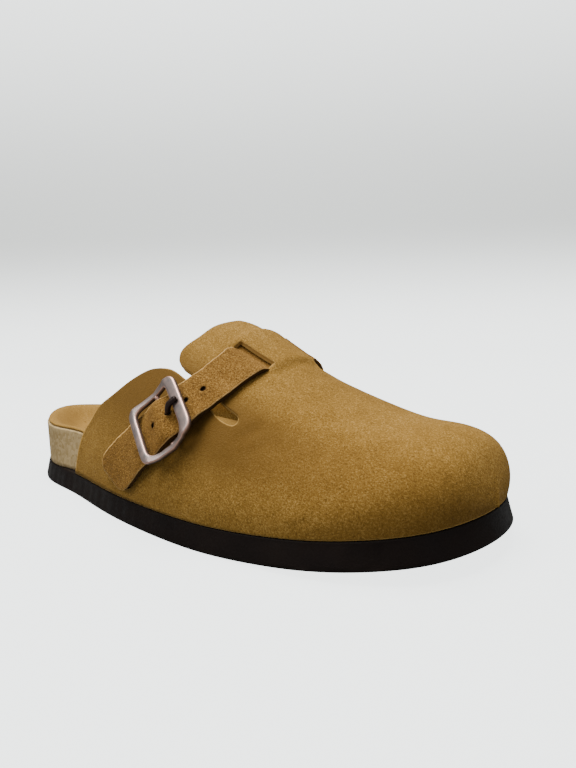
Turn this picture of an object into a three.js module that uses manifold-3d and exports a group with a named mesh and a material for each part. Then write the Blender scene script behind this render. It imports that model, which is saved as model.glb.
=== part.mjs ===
// A suede clog with a cork footbed and a buckled instep strap: the right shoe of a pair.
// Millimetres. X runs from heel to toe, Y towards the inner side of the foot, Z up.
// The origin is below the middle of the shoe, on the floor.
import * as THREE from "three";
import { mergeVertices } from "three/addons/utils/BufferGeometryUtils.js";
import Module from "manifold-3d";

const wasm = await Module();
wasm.setup();

// Driving dimensions of the shoe
const LENGTH = 280;
const BALL_WIDTH = 105;
const INSTEP_HEIGHT = 75;
const CLEARANCE = 0.3;

// Outsole
const OUTSOLE_THICKNESS = 9.4;
const HEEL_LIFT = 1.8;
const TOE_SPRING = 7.6;
const OUTSOLE_FLARE = 2;
const OUTSOLE_EDGE_ROUND = 0.7;
const TREAD_DEPTH = 0.9;
const TREAD_WIDTH = 2.4;
const TREAD_PITCH = 11;

// Footbed and its lining
const HEEL_INSET = 2.5;
const FOOTBED_INSET = 4.9;
const FOOTBED_LEAN = 0.13;
const HEEL_RIM_HEIGHT = 21.5;
const HEEL_SEAT_HEIGHT = 12;
const RIM_WIDTH = 2.6;
const CUP_REACH = 14;
const LINING_THICKNESS = 1.2;

// Upper
const UPPER_INSET = 0.8;
const FEATHER_TUCK = 1.3;
const UPPER_WALL = 1.9;
const BRIDGE_RAISE = 2.2;
const SLOT_WIDTH = 7.6;

// Strap and its holes
const STRAP_WIDTH = 22.4;
const STRAP_NARROWING = 0.82;
const STRAP_THICKNESS = 2;
const STRAP_HOLE = 2;
const STRAP_HOLE_PITCH = 7.5;
const STRAP_END_SLANT = 11;
const STRAP_CORNER = 6;

// Buckle
const BUCKLE_LENGTH = 26.5;
const BUCKLE_PIN_OFFSET = 0.75;
const BUCKLE_WIDTH = 26.8;
const BUCKLE_BOW = 1.4;
const BUCKLE_DIP = 4.4;
const BUCKLE_THICKNESS = 2.2;
const BUCKLE_FAR_BAR = 5;
const BUCKLE_NEAR_BAR = 3.2;
const BUCKLE_ARM = 2.4;
const PIN_DIAMETER = 2;
const PRONG_DIAMETER = 1.5;
const PRONG_HOLE = 3.3;
const PRONG_REACH = 9.2;
const TAB_THICKNESS = 0.9;
const TAB_LENGTH = 9;
const TAB_WIDTH = 17;

// Outline of the outsole: half width and middle, as shares of half the ball width
const OUTLINE = [
  { at: 0.0, half: 0.0, middle: 0.008 },
  { at: 0.06, half: 0.461, middle: 0.015 },
  { at: 0.15, half: 0.684, middle: 0.002 },
  { at: 0.28, half: 0.731, middle: -0.05 },
  { at: 0.42, half: 0.789, middle: -0.12 },
  { at: 0.55, half: 0.884, middle: -0.099 },
  { at: 0.66, half: 0.956, middle: -0.038 },
  { at: 0.76, half: 0.971, middle: 0.027 },
  { at: 0.85, half: 0.922, middle: 0.074 },
  { at: 0.92, half: 0.783, middle: 0.101 },
  { at: 0.97, half: 0.562, middle: 0.12 },
  { at: 1.0, half: 0.0, middle: 0.13 },
];

// Sections of the last. ridge is a share of the instep height and crown one of half the ball width;
// wall and flat are the lengths of the curve's arms and swell how far the side leans out.
const LAST = [
  { at: 0.08, ridge: 1.187, crown: 0.017, wall: 0.6, flat: 0.3, swell: 0.03 },
  { at: 0.2, ridge: 1.187, crown: 0.017, wall: 0.6, flat: 0.3, swell: 0.03 },
  { at: 0.3, ridge: 1.173, crown: 0.017, wall: 0.6, flat: 0.3, swell: 0.03 },
  { at: 0.4, ridge: 1.133, crown: 0.017, wall: 0.58, flat: 0.3, swell: 0.03 },
  { at: 0.48, ridge: 1.073, crown: 0.036, wall: 0.55, flat: 0.34, swell: 0.03 },
  { at: 0.55, ridge: 1.021, crown: 0.055, wall: 0.5, flat: 0.38, swell: 0.035 },
  { at: 0.6, ridge: 0.978, crown: 0.065, wall: 0.46, flat: 0.4, swell: 0.055 },
  { at: 0.65, ridge: 0.868, crown: 0.074, wall: 0.44, flat: 0.42, swell: 0.08 },
  { at: 0.7, ridge: 0.758, crown: 0.074, wall: 0.44, flat: 0.44, swell: 0.105 },
  { at: 0.76, ridge: 0.644, crown: 0.093, wall: 0.46, flat: 0.48, swell: 0.13 },
  { at: 0.82, ridge: 0.549, crown: 0.131, wall: 0.5, flat: 0.54, swell: 0.155 },
  { at: 0.88, ridge: 0.485, crown: 0.17, wall: 0.55, flat: 0.58, swell: 0.18 },
  { at: 0.92, ridge: 0.472, crown: 0.189, wall: 0.58, flat: 0.6, swell: 0.195 },
  { at: 0.955, ridge: 0.442, crown: 0.208, wall: 0.58, flat: 0.6, swell: 0.2 },
  { at: 0.98, ridge: 0.368, crown: 0.208, wall: 0.58, flat: 0.58, swell: 0.2 },
  { at: 0.993, ridge: 0.26, crown: 0.17, wall: 0.58, flat: 0.56, swell: 0.2 },
  { at: 1.0, ridge: 0.113, crown: 0.13, wall: 0.56, flat: 0.56, swell: 0.2 },
];

// Footbed heights above the outsole, as shares of the heel rim's height
const BED = [
  { at: 0.0, outer: 1.0, inner: 1.0, seat: 0.56 },
  { at: 0.12, outer: 1.0, inner: 0.98, seat: 0.52 },
  { at: 0.25, outer: 0.93, inner: 1.02, seat: 0.54 },
  { at: 0.4, outer: 0.74, inner: 1.0, seat: 0.58 },
  { at: 0.52, outer: 0.58, inner: 0.78, seat: 0.48 },
  { at: 0.66, outer: 0.45, inner: 0.5, seat: 0.34 },
  { at: 0.82, outer: 0.42, inner: 0.44, seat: 0.3 },
  { at: 1.0, outer: 0.42, inner: 0.42, seat: 0.3 },
];

// Back edge of a quarter, from the sole to its rounded top; rise is the share of the way to the crown
const QUARTER_EDGE = [
  { along: 0.276, rise: 0.0 },
  { along: 0.301, rise: 0.084 },
  { along: 0.328, rise: 0.16 },
  { along: 0.353, rise: 0.208 },
  { along: 0.376, rise: 0.265 },
  { along: 0.415, rise: 0.329 },
  { along: 0.445, rise: 0.389 },
  { along: 0.476, rise: 0.457 },
  { along: 0.495, rise: 0.493 },
  { along: 0.517, rise: 0.517 },
];

// Top edge of a quarter, on to the keyhole
const QUARTER_TOP = [
  { along: 0.517, rise: 0.517 },
  { along: 0.541, rise: 0.529 },
  { along: 0.571, rise: 0.521 },
  { along: 0.61, rise: 0.503 },
  { along: 0.645, rise: 0.48 },
  { along: 0.675, rise: 0.463 },
  { along: 0.693, rise: 0.465 },
  { along: 0.7, rise: 0.474 },
  { along: 0.702, rise: 0.49 },
];

// Low edge of the tongue, from its rounded back corner on to the keyhole
const TONGUE_SIDE = [
  { along: 0.548, rise: 0.577 },
  { along: 0.562, rise: 0.556 },
  { along: 0.585, rise: 0.545 },
  { along: 0.62, rise: 0.536 },
  { along: 0.65, rise: 0.526 },
  { along: 0.675, rise: 0.519 },
  { along: 0.692, rise: 0.515 },
  { along: 0.7, rise: 0.506 },
  { along: 0.702, rise: 0.49 },
];

// Back edge of the tongue over the instep
const TONGUE_BACK = [
  { along: 0.548, rise: 0.577 },
  { along: 0.54, rise: 0.612 },
  { along: 0.541, rise: 0.66 },
  { along: 0.551, rise: 0.725 },
  { along: 0.558, rise: 0.838 },
  { along: 0.57, rise: 0.93 },
  { along: 0.574, rise: 1.0 },
  { along: 0.57, rise: 1.07 },
  { along: 0.558, rise: 1.162 },
  { along: 0.551, rise: 1.275 },
  { along: 0.541, rise: 1.34 },
  { along: 0.54, rise: 1.388 },
  { along: 0.548, rise: 1.423 },
];

// Route of the strap's middle over the upper, from its free end to where it is sewn down
const STRAP_ROUTE = [
  { along: 0.45, rise: 0.035 },
  { along: 0.477, rise: 0.085 },
  { along: 0.506, rise: 0.14 },
  { along: 0.552, rise: 0.226 },
  { along: 0.585, rise: 0.303 },
  { along: 0.607, rise: 0.378 },
  { along: 0.621, rise: 0.446 },
  { along: 0.635, rise: 0.531 },
  { along: 0.648, rise: 0.65 },
  { along: 0.657, rise: 0.8 },
  { along: 0.663, rise: 1.0 },
  { along: 0.663, rise: 1.13 },
  { along: 0.656, rise: 1.25 },
  { along: 0.641, rise: 1.4 },
  { along: 0.614, rise: 1.6 },
  { along: 0.586, rise: 1.75 },
];
const BUCKLE_RISE = 0.341;
const BRIDGE = { from: 0.8125, to: 1.13, alongOuter: 0.657, alongInner: 0.664, turn: 0.035 };

const HALF_BALL = BALL_WIDTH / 2;
const OUTER = -1;
const INNER = 1;

// Lengthwise angle: 0 at the heel and pi at the toe, so that round ends close smoothly
const angleAt = (along) => Math.acos(1 - 2 * Math.min(1, Math.max(0, along)));
const alongAt = (angle) => (1 - Math.cos(Math.min(Math.PI, Math.max(0, angle)))) / 2;
const mix = (a, b, k) => a + (b - a) * k;
const smooth = (k) => {
  const c = Math.min(1, Math.max(0, k));
  return c * c * (3 - 2 * c);
};

// Natural cubic spline through knots (x, y), returned as a function of x
function spline(x, y) {
  const n = x.length;
  const bend = new Array(n).fill(0);
  const weight = new Array(n).fill(0);
  for (let i = 1; i < n - 1; i++) {
    const before = x[i] - x[i - 1];
    const after = x[i + 1] - x[i];
    const slopes = (y[i + 1] - y[i]) / after - (y[i] - y[i - 1]) / before;
    const pivot = 2 * (before + after) - before * weight[i - 1];
    weight[i] = after / pivot;
    bend[i] = (6 * slopes - before * bend[i - 1]) / pivot;
  }
  for (let i = n - 2; i > 0; i--) bend[i] -= weight[i] * bend[i + 1];
  return (v) => {
    let i = 0;
    while (i < n - 2 && v > x[i + 1]) i++;
    const step = x[i + 1] - x[i];
    const a = (x[i + 1] - v) / step;
    const b = (v - x[i]) / step;
    const cubic = ((a ** 3 - a) * bend[i] + (b ** 3 - b) * bend[i + 1]) * (step * step) / 6;
    return a * y[i] + b * y[i + 1] + cubic;
  };
}

// One column of a table of sections, as a function of the lengthwise angle
const column = (table, name) =>
  spline(table.map((row) => angleAt(row.at)), table.map((row) => row[name]));

const outlineHalf = column(OUTLINE, "half");
const outlineMiddle = column(OUTLINE, "middle");
const lastRidge = column(LAST, "ridge");
const lastCrown = column(LAST, "crown");
const lastWall = column(LAST, "wall");
const lastFlat = column(LAST, "flat");
const lastSwell = column(LAST, "swell");
const bedRim = { [OUTER]: column(BED, "outer"), [INNER]: column(BED, "inner") };
const bedSeat = column(BED, "seat");

// Height of the outsole's underside: level in the middle, lifted at the heel and sprung at the toe
const LIFT_ENDS = 0.16;
const SPRING_STARTS = 0.66;
const ROCKER_POWER = 1.8;
function undersideAt(along) {
  const heel = Math.max(0, (LIFT_ENDS - along) / LIFT_ENDS) ** ROCKER_POWER;
  const toe = Math.max(0, (along - SPRING_STARTS) / (1 - SPRING_STARTS)) ** ROCKER_POWER;
  return HEEL_LIFT * heel + TOE_SPRING * toe;
}
const seatAt = (along) => undersideAt(along) + OUTSOLE_THICKNESS;

// A point of the outline, moved in by inset along its own normal
const ANGLE_STEP = 1e-3;
function outlineAt(angle, side, inset) {
  const at = (a) => {
    const clamped = Math.min(Math.PI, Math.max(0, a));
    return [
      (alongAt(clamped) - 0.5) * LENGTH,
      (outlineMiddle(clamped) + side * outlineHalf(clamped)) * HALF_BALL,
    ];
  };
  const [x0, y0] = at(angle - ANGLE_STEP);
  const [x1, y1] = at(angle + ANGLE_STEP);
  const [x, y] = at(angle);
  const atEnd = angle <= 0 || angle >= Math.PI;
  const length = Math.hypot(x1 - x0, y1 - y0);
  const nx = atEnd ? Math.sign(angle - 1) : (-side * (y1 - y0)) / length;
  const ny = atEnd ? 0 : (side * (x1 - x0)) / length;
  return { x: x - inset * nx, y: y - inset * ny, nx, ny };
}

// The last: at a share of the length and a rise from 0 (outer feather) over 1 (crown) to 2 (inner feather),
// one cubic curve stands up from the feather, leans out by swell and comes in flat at the crown.
function lastAt(along, rise, inset) {
  const angle = angleAt(along);
  const side = rise <= 1 ? OUTER : INNER;
  const s = rise <= 1 ? rise : 2 - rise;
  const foot = outlineAt(angle, side, inset + FEATHER_TUCK);
  const base = seatAt(along) + CLEARANCE;
  const low = alongAt(angle - ANGLE_STEP);
  const high = alongAt(angle + ANGLE_STEP);
  const run = (high - low) * LENGTH;
  const climb = (lastRidge(angleAt(high)) - lastRidge(angleAt(low))) * INSTEP_HEIGHT;
  const slope = Math.hypot(run, climb);
  const ridge = lastRidge(angle) * INSTEP_HEIGHT + OUTSOLE_THICKNESS;
  const topX = (along - 0.5) * LENGTH + (inset * climb) / slope;
  const topZ = ridge - (inset * run) / slope;
  const topY = lastCrown(angle) * HALF_BALL;
  const height = topZ - base;
  const wall = lastWall(angle);
  const flat = lastFlat(angle);
  const swell = lastSwell(angle) * height;
  const p0 = [foot.x, foot.y, base];
  const p1 = [foot.x + foot.nx * swell, foot.y + foot.ny * swell, base + wall * height];
  const p2 = [mix(topX, foot.x, flat), mix(topY, foot.y, flat), topZ];
  const p3 = [topX, topY, topZ];
  const b0 = (1 - s) ** 3;
  const b1 = 3 * (1 - s) ** 2 * s;
  const b2 = 3 * (1 - s) * s * s;
  const b3 = s ** 3;
  return new THREE.Vector3(...p0.map((v, i) => b0 * v + b1 * p1[i] + b2 * p2[i] + b3 * p3[i]));
}

// Outward normal of the last, and its two tangents for one unit of along and of rise
const SHARE_STEP = 2e-3;
function lastFrame(along, rise) {
  const at = (a, r) => lastAt(a, r, UPPER_INSET);
  const point = at(along, rise);
  const whole = 2 * SHARE_STEP;
  const alongStep = at(along + SHARE_STEP, rise).sub(at(along - SHARE_STEP, rise)).divideScalar(whole);
  const riseStep = at(along, rise + SHARE_STEP).sub(at(along, rise - SHARE_STEP)).divideScalar(whole);
  const normal = alongStep.clone().cross(riseStep).normalize();
  return { point, alongStep, riseStep, normal };
}

// Extra height of the leather where the strap runs below it, between the two slots
const BRIDGE_PLATEAU = 0.036;
const BRIDGE_FADE_ALONG = 0.02;
const BRIDGE_FADE_RISE = 0.05;
function bridgeRaise(along, rise) {
  const middle = mix(BRIDGE.alongOuter, BRIDGE.alongInner, (rise - BRIDGE.from) / (BRIDGE.to - BRIDGE.from));
  const off = along - middle;
  const lengthwise = 1 - smooth((Math.abs(off) - BRIDGE_PLATEAU) / BRIDGE_FADE_ALONG);
  const from = BRIDGE.from + (BRIDGE.turn * off) / (2 * BRIDGE_PLATEAU);
  const across = smooth((rise - from + BRIDGE_FADE_RISE) / BRIDGE_FADE_RISE)
    * smooth((BRIDGE.to + BRIDGE_FADE_RISE - rise) / BRIDGE_FADE_RISE);
  return BRIDGE_RAISE * lengthwise * across;
}

// Builds one closed mesh from points and faces, and joins points that lie together
class MeshBuilder {
  constructor() {
    this.keys = new Map();
    this.points = [];
    this.faces = [];
  }

  point(v) {
    const key = [v.x, v.y, v.z].map((c) => Math.round(c * 500)).join();
    if (!this.keys.has(key)) {
      this.keys.set(key, this.points.length);
      this.points.push(v);
    }
    return this.keys.get(key);
  }

  triangle(a, b, c) {
    if (a !== b && b !== c && c !== a) this.faces.push([a, b, c]);
  }

  quad(a, b, c, d) {
    this.triangle(a, b, c);
    this.triangle(a, c, d);
  }

  // The finished geometry, turned outwards
  geometry() {
    const [p, q, r] = [new THREE.Vector3(), new THREE.Vector3(), new THREE.Vector3()];
    let volume = 0;
    for (const [a, b, c] of this.faces) {
      volume += p.copy(this.points[a]).dot(q.copy(this.points[b]).cross(r.copy(this.points[c])));
    }
    const faces = volume < 0 ? this.faces.map(([a, b, c]) => [a, c, b]) : this.faces;
    return new THREE.BufferGeometry().setFromPoints(this.points).setIndex(faces.flat());
  }
}

// Skin through closed rings of points, with both ends closed
function skinGeometry(rings) {
  const builder = new MeshBuilder();
  const ids = rings.map((ring) => ring.map((v) => builder.point(v)));
  const count = ids[0].length;
  for (let i = 0; i + 1 < ids.length; i++) {
    for (let j = 0; j < count; j++) {
      const k = (j + 1) % count;
      builder.quad(ids[i][j], ids[i][k], ids[i + 1][k], ids[i + 1][j]);
    }
  }
  return builder;
}

// Caps the first and last ring of a skin with strips across them
function closeEnds(builder, rings) {
  for (const [ring, turned] of [[rings[0], true], [rings[rings.length - 1], false]]) {
    const ids = ring.map((v) => builder.point(v));
    for (let j = 0; j < ids.length / 2 - 1; j++) {
      const quad = [ids[j], ids[j + 1], ids[ids.length - 2 - j], ids[ids.length - 1 - j]];
      builder.quad(...(turned ? quad.reverse() : quad));
    }
  }
  return builder;
}

// Wall from a grid of outer and inner points: each open edge of the grid gets a rim
function wallGeometry(patches) {
  const builder = new MeshBuilder();
  const partner = new Map();
  const cells = [];
  for (const { outer, inner, open } of patches) {
    const ids = outer.map((row, i) => row.map((v, j) => {
      const id = builder.point(v);
      if (!partner.has(id)) partner.set(id, inner[i][j]);
      return id;
    }));
    for (let i = 0; i + 1 < ids.length; i++) {
      for (let j = 0; j + 1 < ids[i].length; j++) {
        if (open?.(i, j)) continue;
        cells.push([ids[i][j], ids[i][j + 1], ids[i + 1][j + 1], ids[i + 1][j]]);
      }
    }
  }
  const inside = new Map([...partner].map(([id, v]) => [id, builder.points.push(v) - 1]));
  const edges = new Set();
  for (const cell of cells) {
    const ring = cell.filter((id, k) => id !== cell[(k + 1) % 4]);
    ring.forEach((id, k) => edges.add(id + "," + ring[(k + 1) % ring.length]));
    builder.quad(...cell);
    builder.quad(...cell.map((id) => inside.get(id)).reverse());
  }
  for (const edge of edges) {
    const [a, b] = edge.split(",").map(Number);
    if (!edges.has(b + "," + a)) builder.quad(b, a, inside.get(a), inside.get(b));
  }
  return builder.geometry();
}

// Solids for cuts and joins
function solidOf(geometry) {
  const bare = geometry.clone();
  for (const name of Object.keys(bare.attributes)) if (name !== "position") bare.deleteAttribute(name);
  const merged = mergeVertices(bare, 1e-4);
  return new wasm.Manifold(new wasm.Mesh({
    numProp: 3,
    vertProperties: new Float32Array(merged.attributes.position.array),
    triVerts: new Uint32Array(merged.index.array),
  }));
}

function geometryOf(solid) {
  const mesh = solid.getMesh();
  const geometry = new THREE.BufferGeometry();
  geometry.setAttribute("position", new THREE.BufferAttribute(mesh.vertProperties, 3));
  return geometry.setIndex(new THREE.BufferAttribute(mesh.triVerts, 1));
}

const shares = (count) => Array.from({ length: count + 1 }, (_, i) => i / count);

// Lengthwise stations, closer together at the round heel and toe
const SOLE_STATIONS = 40;
const soleAngles = shares(SOLE_STATIONS).map((k) => k * Math.PI);

// A point of the sole, inset from the outline and at a height above the outsole's underside
function solePoint(angle, side, inset, height) {
  const edge = outlineAt(angle, side, inset);
  return new THREE.Vector3(edge.x, edge.y, undersideAt(alongAt(angle)) + height);
}

function outsoleGeometry() {
  const side = [
    { inset: OUTSOLE_EDGE_ROUND / 2, height: 0 },
    { inset: 0, height: OUTSOLE_EDGE_ROUND },
    { inset: OUTSOLE_FLARE, height: OUTSOLE_THICKNESS - OUTSOLE_EDGE_ROUND / 2 },
    { inset: OUTSOLE_FLARE + OUTSOLE_EDGE_ROUND / 2, height: OUTSOLE_THICKNESS },
  ];
  const rings = soleAngles.map((angle) => [
    ...side.map(({ inset, height }) => solePoint(angle, INNER, inset, height)),
    ...side.toReversed().map(({ inset, height }) => solePoint(angle, OUTER, inset, height)),
  ]);
  let solid = solidOf(skinGeometry(rings).geometry());
  for (let x = -LENGTH / 2 + TREAD_PITCH; x < LENGTH / 2 - TREAD_PITCH / 2; x += TREAD_PITCH) {
    const under = undersideAt(x / LENGTH + 0.5);
    const tilt = Math.atan2(undersideAt((x + 1) / LENGTH + 0.5) - under, 1);
    const groove = new THREE.BoxGeometry(TREAD_WIDTH, BALL_WIDTH * 2, TREAD_DEPTH * 2);
    groove.rotateY(-tilt);
    groove.translate(x, 0, under);
    solid = solid.subtract(solidOf(groove));
  }
  return geometryOf(solid);
}

// Footbed: height of its top above the outsole, at a distance in from its rim
function bedHeight(angle, side, distance) {
  const rim = bedRim[side](angle) * HEEL_RIM_HEIGHT;
  const seat = (bedSeat(angle) / BED[0].seat) * HEEL_SEAT_HEIGHT;
  return mix(rim, seat, smooth((distance - RIM_WIDTH) / CUP_REACH));
}

// The cork is flush with the outsole round the open heel and steps in below the upper
const LEAN_FROM = 0.17;
const LEAN_OVER = 0.1;
const leanAt = (angle) => smooth((alongAt(angle) - LEAN_FROM) / LEAN_OVER);
const bedInset = (angle) => mix(HEEL_INSET, FOOTBED_INSET, leanAt(angle));
const rimInset = (angle, side) =>
  bedInset(angle) + FOOTBED_LEAN * leanAt(angle) * bedRim[side](angle) * HEEL_RIM_HEIGHT;

// Top of the footbed from one rim to the other, raised by lift, as one row of points
const BED_SHARES = [0.3, 0.5, 0.7, 1];
const BED_MIDDLE = [0.25, 0.5, 0.75];
function bedRow(angle, from, lift) {
  const reaches = [from, RIM_WIDTH, ...BED_SHARES.map((k) => RIM_WIDTH + CUP_REACH * k)];
  const half = (side) => reaches.map((distance) => solePoint(
    angle,
    side,
    rimInset(angle, side) + distance,
    OUTSOLE_THICKNESS + CLEARANCE + bedHeight(angle, side, distance) + lift,
  ));
  const inner = half(INNER);
  const outer = half(OUTER);
  const last = reaches.length - 1;
  return [
    ...inner,
    ...BED_MIDDLE.map((k) => inner[last].clone().lerp(outer[last], k)),
    ...outer.reverse(),
  ];
}

const RIM_ROUND = 0.8;
function footbedGeometry() {
  const rings = soleAngles.map((angle) => {
    const bottom = (side) => solePoint(angle, side, bedInset(angle), OUTSOLE_THICKNESS + CLEARANCE);
    const shoulder = (side) => solePoint(
      angle,
      side,
      rimInset(angle, side),
      OUTSOLE_THICKNESS + CLEARANCE + bedHeight(angle, side, 0) - RIM_ROUND,
    );
    return [bottom(INNER), shoulder(INNER), ...bedRow(angle, RIM_ROUND, 0), shoulder(OUTER), bottom(OUTER)];
  });
  return skinGeometry(rings).geometry();
}

function liningGeometry() {
  const from = RIM_ROUND + CLEARANCE;
  const rings = soleAngles.map((angle) => [
    ...bedRow(angle, from, CLEARANCE + LINING_THICKNESS),
    ...bedRow(angle, from, CLEARANCE).reverse(),
  ]);
  return skinGeometry(rings).geometry();
}

// A drawn edge of the upper as a function of the share of its own length
function edgeCurve(table) {
  const rows = table.map(({ along, rise }) => [along, rise]);
  const reach = [0];
  for (let i = 1; i < rows.length; i++) {
    const step = Math.hypot(
      (rows[i][0] - rows[i - 1][0]) * LENGTH,
      (rows[i][1] - rows[i - 1][1]) * BALL_WIDTH,
    );
    reach.push(reach[i - 1] + step);
  }
  const total = reach[reach.length - 1];
  const knots = reach.map((v) => v / total);
  const along = spline(knots, rows.map((row) => row[0]));
  const rise = spline(knots, rows.map((row) => row[1]));
  return (k) => [along(k), rise(k)];
}

const KEY_ALONG = QUARTER_TOP[QUARTER_TOP.length - 1].along;
const KEY_RISE = QUARTER_TOP[QUARTER_TOP.length - 1].rise;
const TONGUE_BULGE = 0.045;
const quarterEdge = edgeCurve(QUARTER_EDGE);
const quarterTop = edgeCurve(QUARTER_TOP);
const tongueSide = edgeCurve(TONGUE_SIDE);
const tongueBack = edgeCurve(TONGUE_BACK);
const tongueFront = (b) => KEY_ALONG + TONGUE_BULGE * Math.sin(Math.PI * b);

// Blends four edges into a patch: k runs forwards from the back edge and b upwards from the low one
function patchPoint(low, high, back, front, k, b) {
  const corners = [low(0), low(1), high(0), high(1)];
  return [0, 1].map((i) => (1 - b) * low(k)[i] + b * high(k)[i]
    + (1 - k) * back(b)[i] + k * front(b)[i]
    - (1 - b) * ((1 - k) * corners[0][i] + k * corners[1][i])
    - b * ((1 - k) * corners[2][i] + k * corners[3][i]));
}

const quarterPoint = (k, b) => patchPoint(
  (v) => [mix(QUARTER_EDGE[0].along, KEY_ALONG, v), 0],
  quarterTop,
  quarterEdge,
  (v) => [KEY_ALONG, v * KEY_RISE],
  k,
  b,
);

const tonguePoint = (k, b) => patchPoint(
  tongueSide,
  (v) => [tongueSide(v)[0], 2 - tongueSide(v)[1]],
  tongueBack,
  (v) => [tongueFront(v), mix(KEY_RISE, 2 - KEY_RISE, v)],
  k,
  b,
);

// Where the strap passes through the tongue: the slots take their size from the strap's
const SLOT_SLACK = 0.8;
const SLOT_SKEW = 0.03;
const SLOT_STRETCH = 0.22;
const slot = (() => {
  const b = (BRIDGE.from - 0.52) / 0.96;
  const back = tonguePoint(0, b)[0];
  const front = tonguePoint(1, b)[0];
  const middle = (BRIDGE.alongOuter - back) / (front - back);
  const { alongStep, riseStep } = lastFrame(BRIDGE.alongOuter, BRIDGE.from);
  const half = ((STRAP_WIDTH * STRAP_NARROWING) / 2 + SLOT_SLACK) / (alongStep.length() * (front - back));
  const low = b - SLOT_WIDTH / (riseStep.length() * 0.96);
  return { from: middle - half, to: middle + half, high: b, low, innerLip: (BRIDGE.to - 0.52) / 0.96 };
})();

// The inner slot lies further forwards and nearer to the crown than the outer one, which is turned
function skewed(k, b) {
  const shift = SLOT_SKEW + SLOT_STRETCH * (k - (slot.from + slot.to) / 2);
  const inwards = smooth((b - slot.high) / (1 - 2 * slot.high));
  return k + shift * smooth(Math.min(k / 0.34, (1 - k) / 0.2)) * inwards;
}
function turned(k, b) {
  const share = Math.min(1, Math.max(0, (k - slot.from) / (slot.to - slot.from))) - 0.5;
  const lengthwise = smooth(k / slot.from) * smooth((1 - k) / (1 - slot.to));
  const across = smooth(b / slot.low) * smooth((0.5 - b) / (0.5 - slot.high));
  const inner = smooth((b - 0.5) / (0.5 - slot.high)) * smooth((1 - b) / slot.low);
  const back = (1 - slot.high - slot.innerLip) * inner;
  return b + lengthwise * ((BRIDGE.turn / 0.96) * share * across - back);
}

const QUARTER_COLUMNS = shares(8);
const SLOT_ROWS = [0, 0.25, 0.5, 0.75, 1].map((k) => mix(slot.from, slot.to, k));
const BACK_ROWS = [0, 0.12, 0.24, 0.34, ...SLOT_ROWS, 1];
const HALF_TONGUE = [0, slot.low * 0.33, slot.low * 0.67, slot.low, slot.high, mix(slot.high, 0.5, 0.33),
  mix(slot.high, 0.5, 0.67), 0.5];
const TONGUE_COLUMNS = [...HALF_TONGUE, ...HALF_TONGUE.slice(0, -1).reverse().map((b) => 1 - b)];
const FRONT_ROWS = 17;

// A grid of shares (along, rise) turned into points of the upper's two faces
function upperPatch(grid, open) {
  const face = (inset) => grid.map((row) => row.map(([along, rise]) => {
    const raise = bridgeRaise(along, rise);
    const point = lastAt(along, rise, inset);
    return raise > 0 ? point.addScaledVector(lastFrame(along, rise).normal, raise) : point;
  }));
  return { outer: face(UPPER_INSET), inner: face(UPPER_INSET + UPPER_WALL), open };
}

function upperGeometry() {
  const outerQuarter = BACK_ROWS.map((k) => QUARTER_COLUMNS.map((b) => quarterPoint(k, b)));
  const innerQuarter = outerQuarter.map((row) => row.map(([along, rise]) => [along, 2 - rise]).reverse());
  const tongue = BACK_ROWS.map((k) => TONGUE_COLUMNS.map((b) => tonguePoint(skewed(k, b), turned(k, b))));
  const firstRow = [outerQuarter, tongue, innerQuarter].map((grid) => grid[grid.length - 1]);
  const frontAngles = (along) => shares(FRONT_ROWS).map((k) => alongAt(mix(angleAt(along), Math.PI, k)));
  const front = firstRow.map((row) => {
    const lines = row.map(([along, rise]) => frontAngles(along).map((v) => [v, rise]));
    return lines[0].map((_, i) => lines.map((line) => line[i]));
  });
  const slotRows = [SLOT_ROWS[0], SLOT_ROWS.at(-1)].map((k) => BACK_ROWS.indexOf(k));
  const slotColumn = HALF_TONGUE.indexOf(slot.low);
  const lastColumn = TONGUE_COLUMNS.length - 2;
  const isSlot = (i, j) =>
    i >= slotRows[0] && i < slotRows[1] && (j === slotColumn || j === lastColumn - slotColumn);
  return wallGeometry([
    upperPatch(outerQuarter),
    upperPatch(tongue, isSlot),
    upperPatch(innerQuarter),
    ...front.map((grid) => upperPatch(grid)),
  ]);
}

// Heights of the buckle's layers over the upper
const PIN_HEIGHT = 2 * CLEARANCE + TAB_THICKNESS + PIN_DIAMETER / 2;
const BAR_HEIGHT = PIN_HEIGHT + BUCKLE_DIP;
const STRAP_OVER_PIN = PIN_HEIGHT + PIN_DIAMETER / 2 + PRONG_DIAMETER + 2 * CLEARANCE;
const STRAP_UNDER_BAR = BAR_HEIGHT - BUCKLE_THICKNESS / 2 - STRAP_THICKNESS - 3.5 * CLEARANCE;
const STRAP_UNDER_BRIDGE = BRIDGE_RAISE - UPPER_WALL - STRAP_THICKNESS - 2.5 * CLEARANCE;

// Height of the strap's underside over the upper, in mm, along its route
const STRAP_LIFT = [
  { rise: 0.06, lift: 0.6 },
  { rise: 0.15, lift: 1 },
  { rise: 0.226, lift: STRAP_UNDER_BAR },
  { rise: 0.256, lift: STRAP_UNDER_BAR },
  { rise: BUCKLE_RISE, lift: STRAP_OVER_PIN },
  { rise: 0.4, lift: STRAP_UNDER_BAR },
  { rise: 0.44, lift: STRAP_UNDER_BAR },
  { rise: 0.5, lift: 1.4 },
  { rise: 0.6, lift: 2 * CLEARANCE },
  { rise: 0.73, lift: 2 * CLEARANCE },
  { rise: BRIDGE.from - 0.007, lift: STRAP_UNDER_BRIDGE },
  { rise: BRIDGE.to + 0.004, lift: STRAP_UNDER_BRIDGE },
  { rise: BRIDGE.to + 0.07, lift: 2 * CLEARANCE },
  { rise: 1.8, lift: CLEARANCE },
];

function strapLift(rise) {
  const next = Math.max(1, STRAP_LIFT.findIndex((row) => row.rise >= rise));
  const [a, b] = [STRAP_LIFT[next - 1], STRAP_LIFT[next]];
  return mix(a.lift, b.lift, smooth((rise - a.rise) / (b.rise - a.rise)));
}

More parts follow.
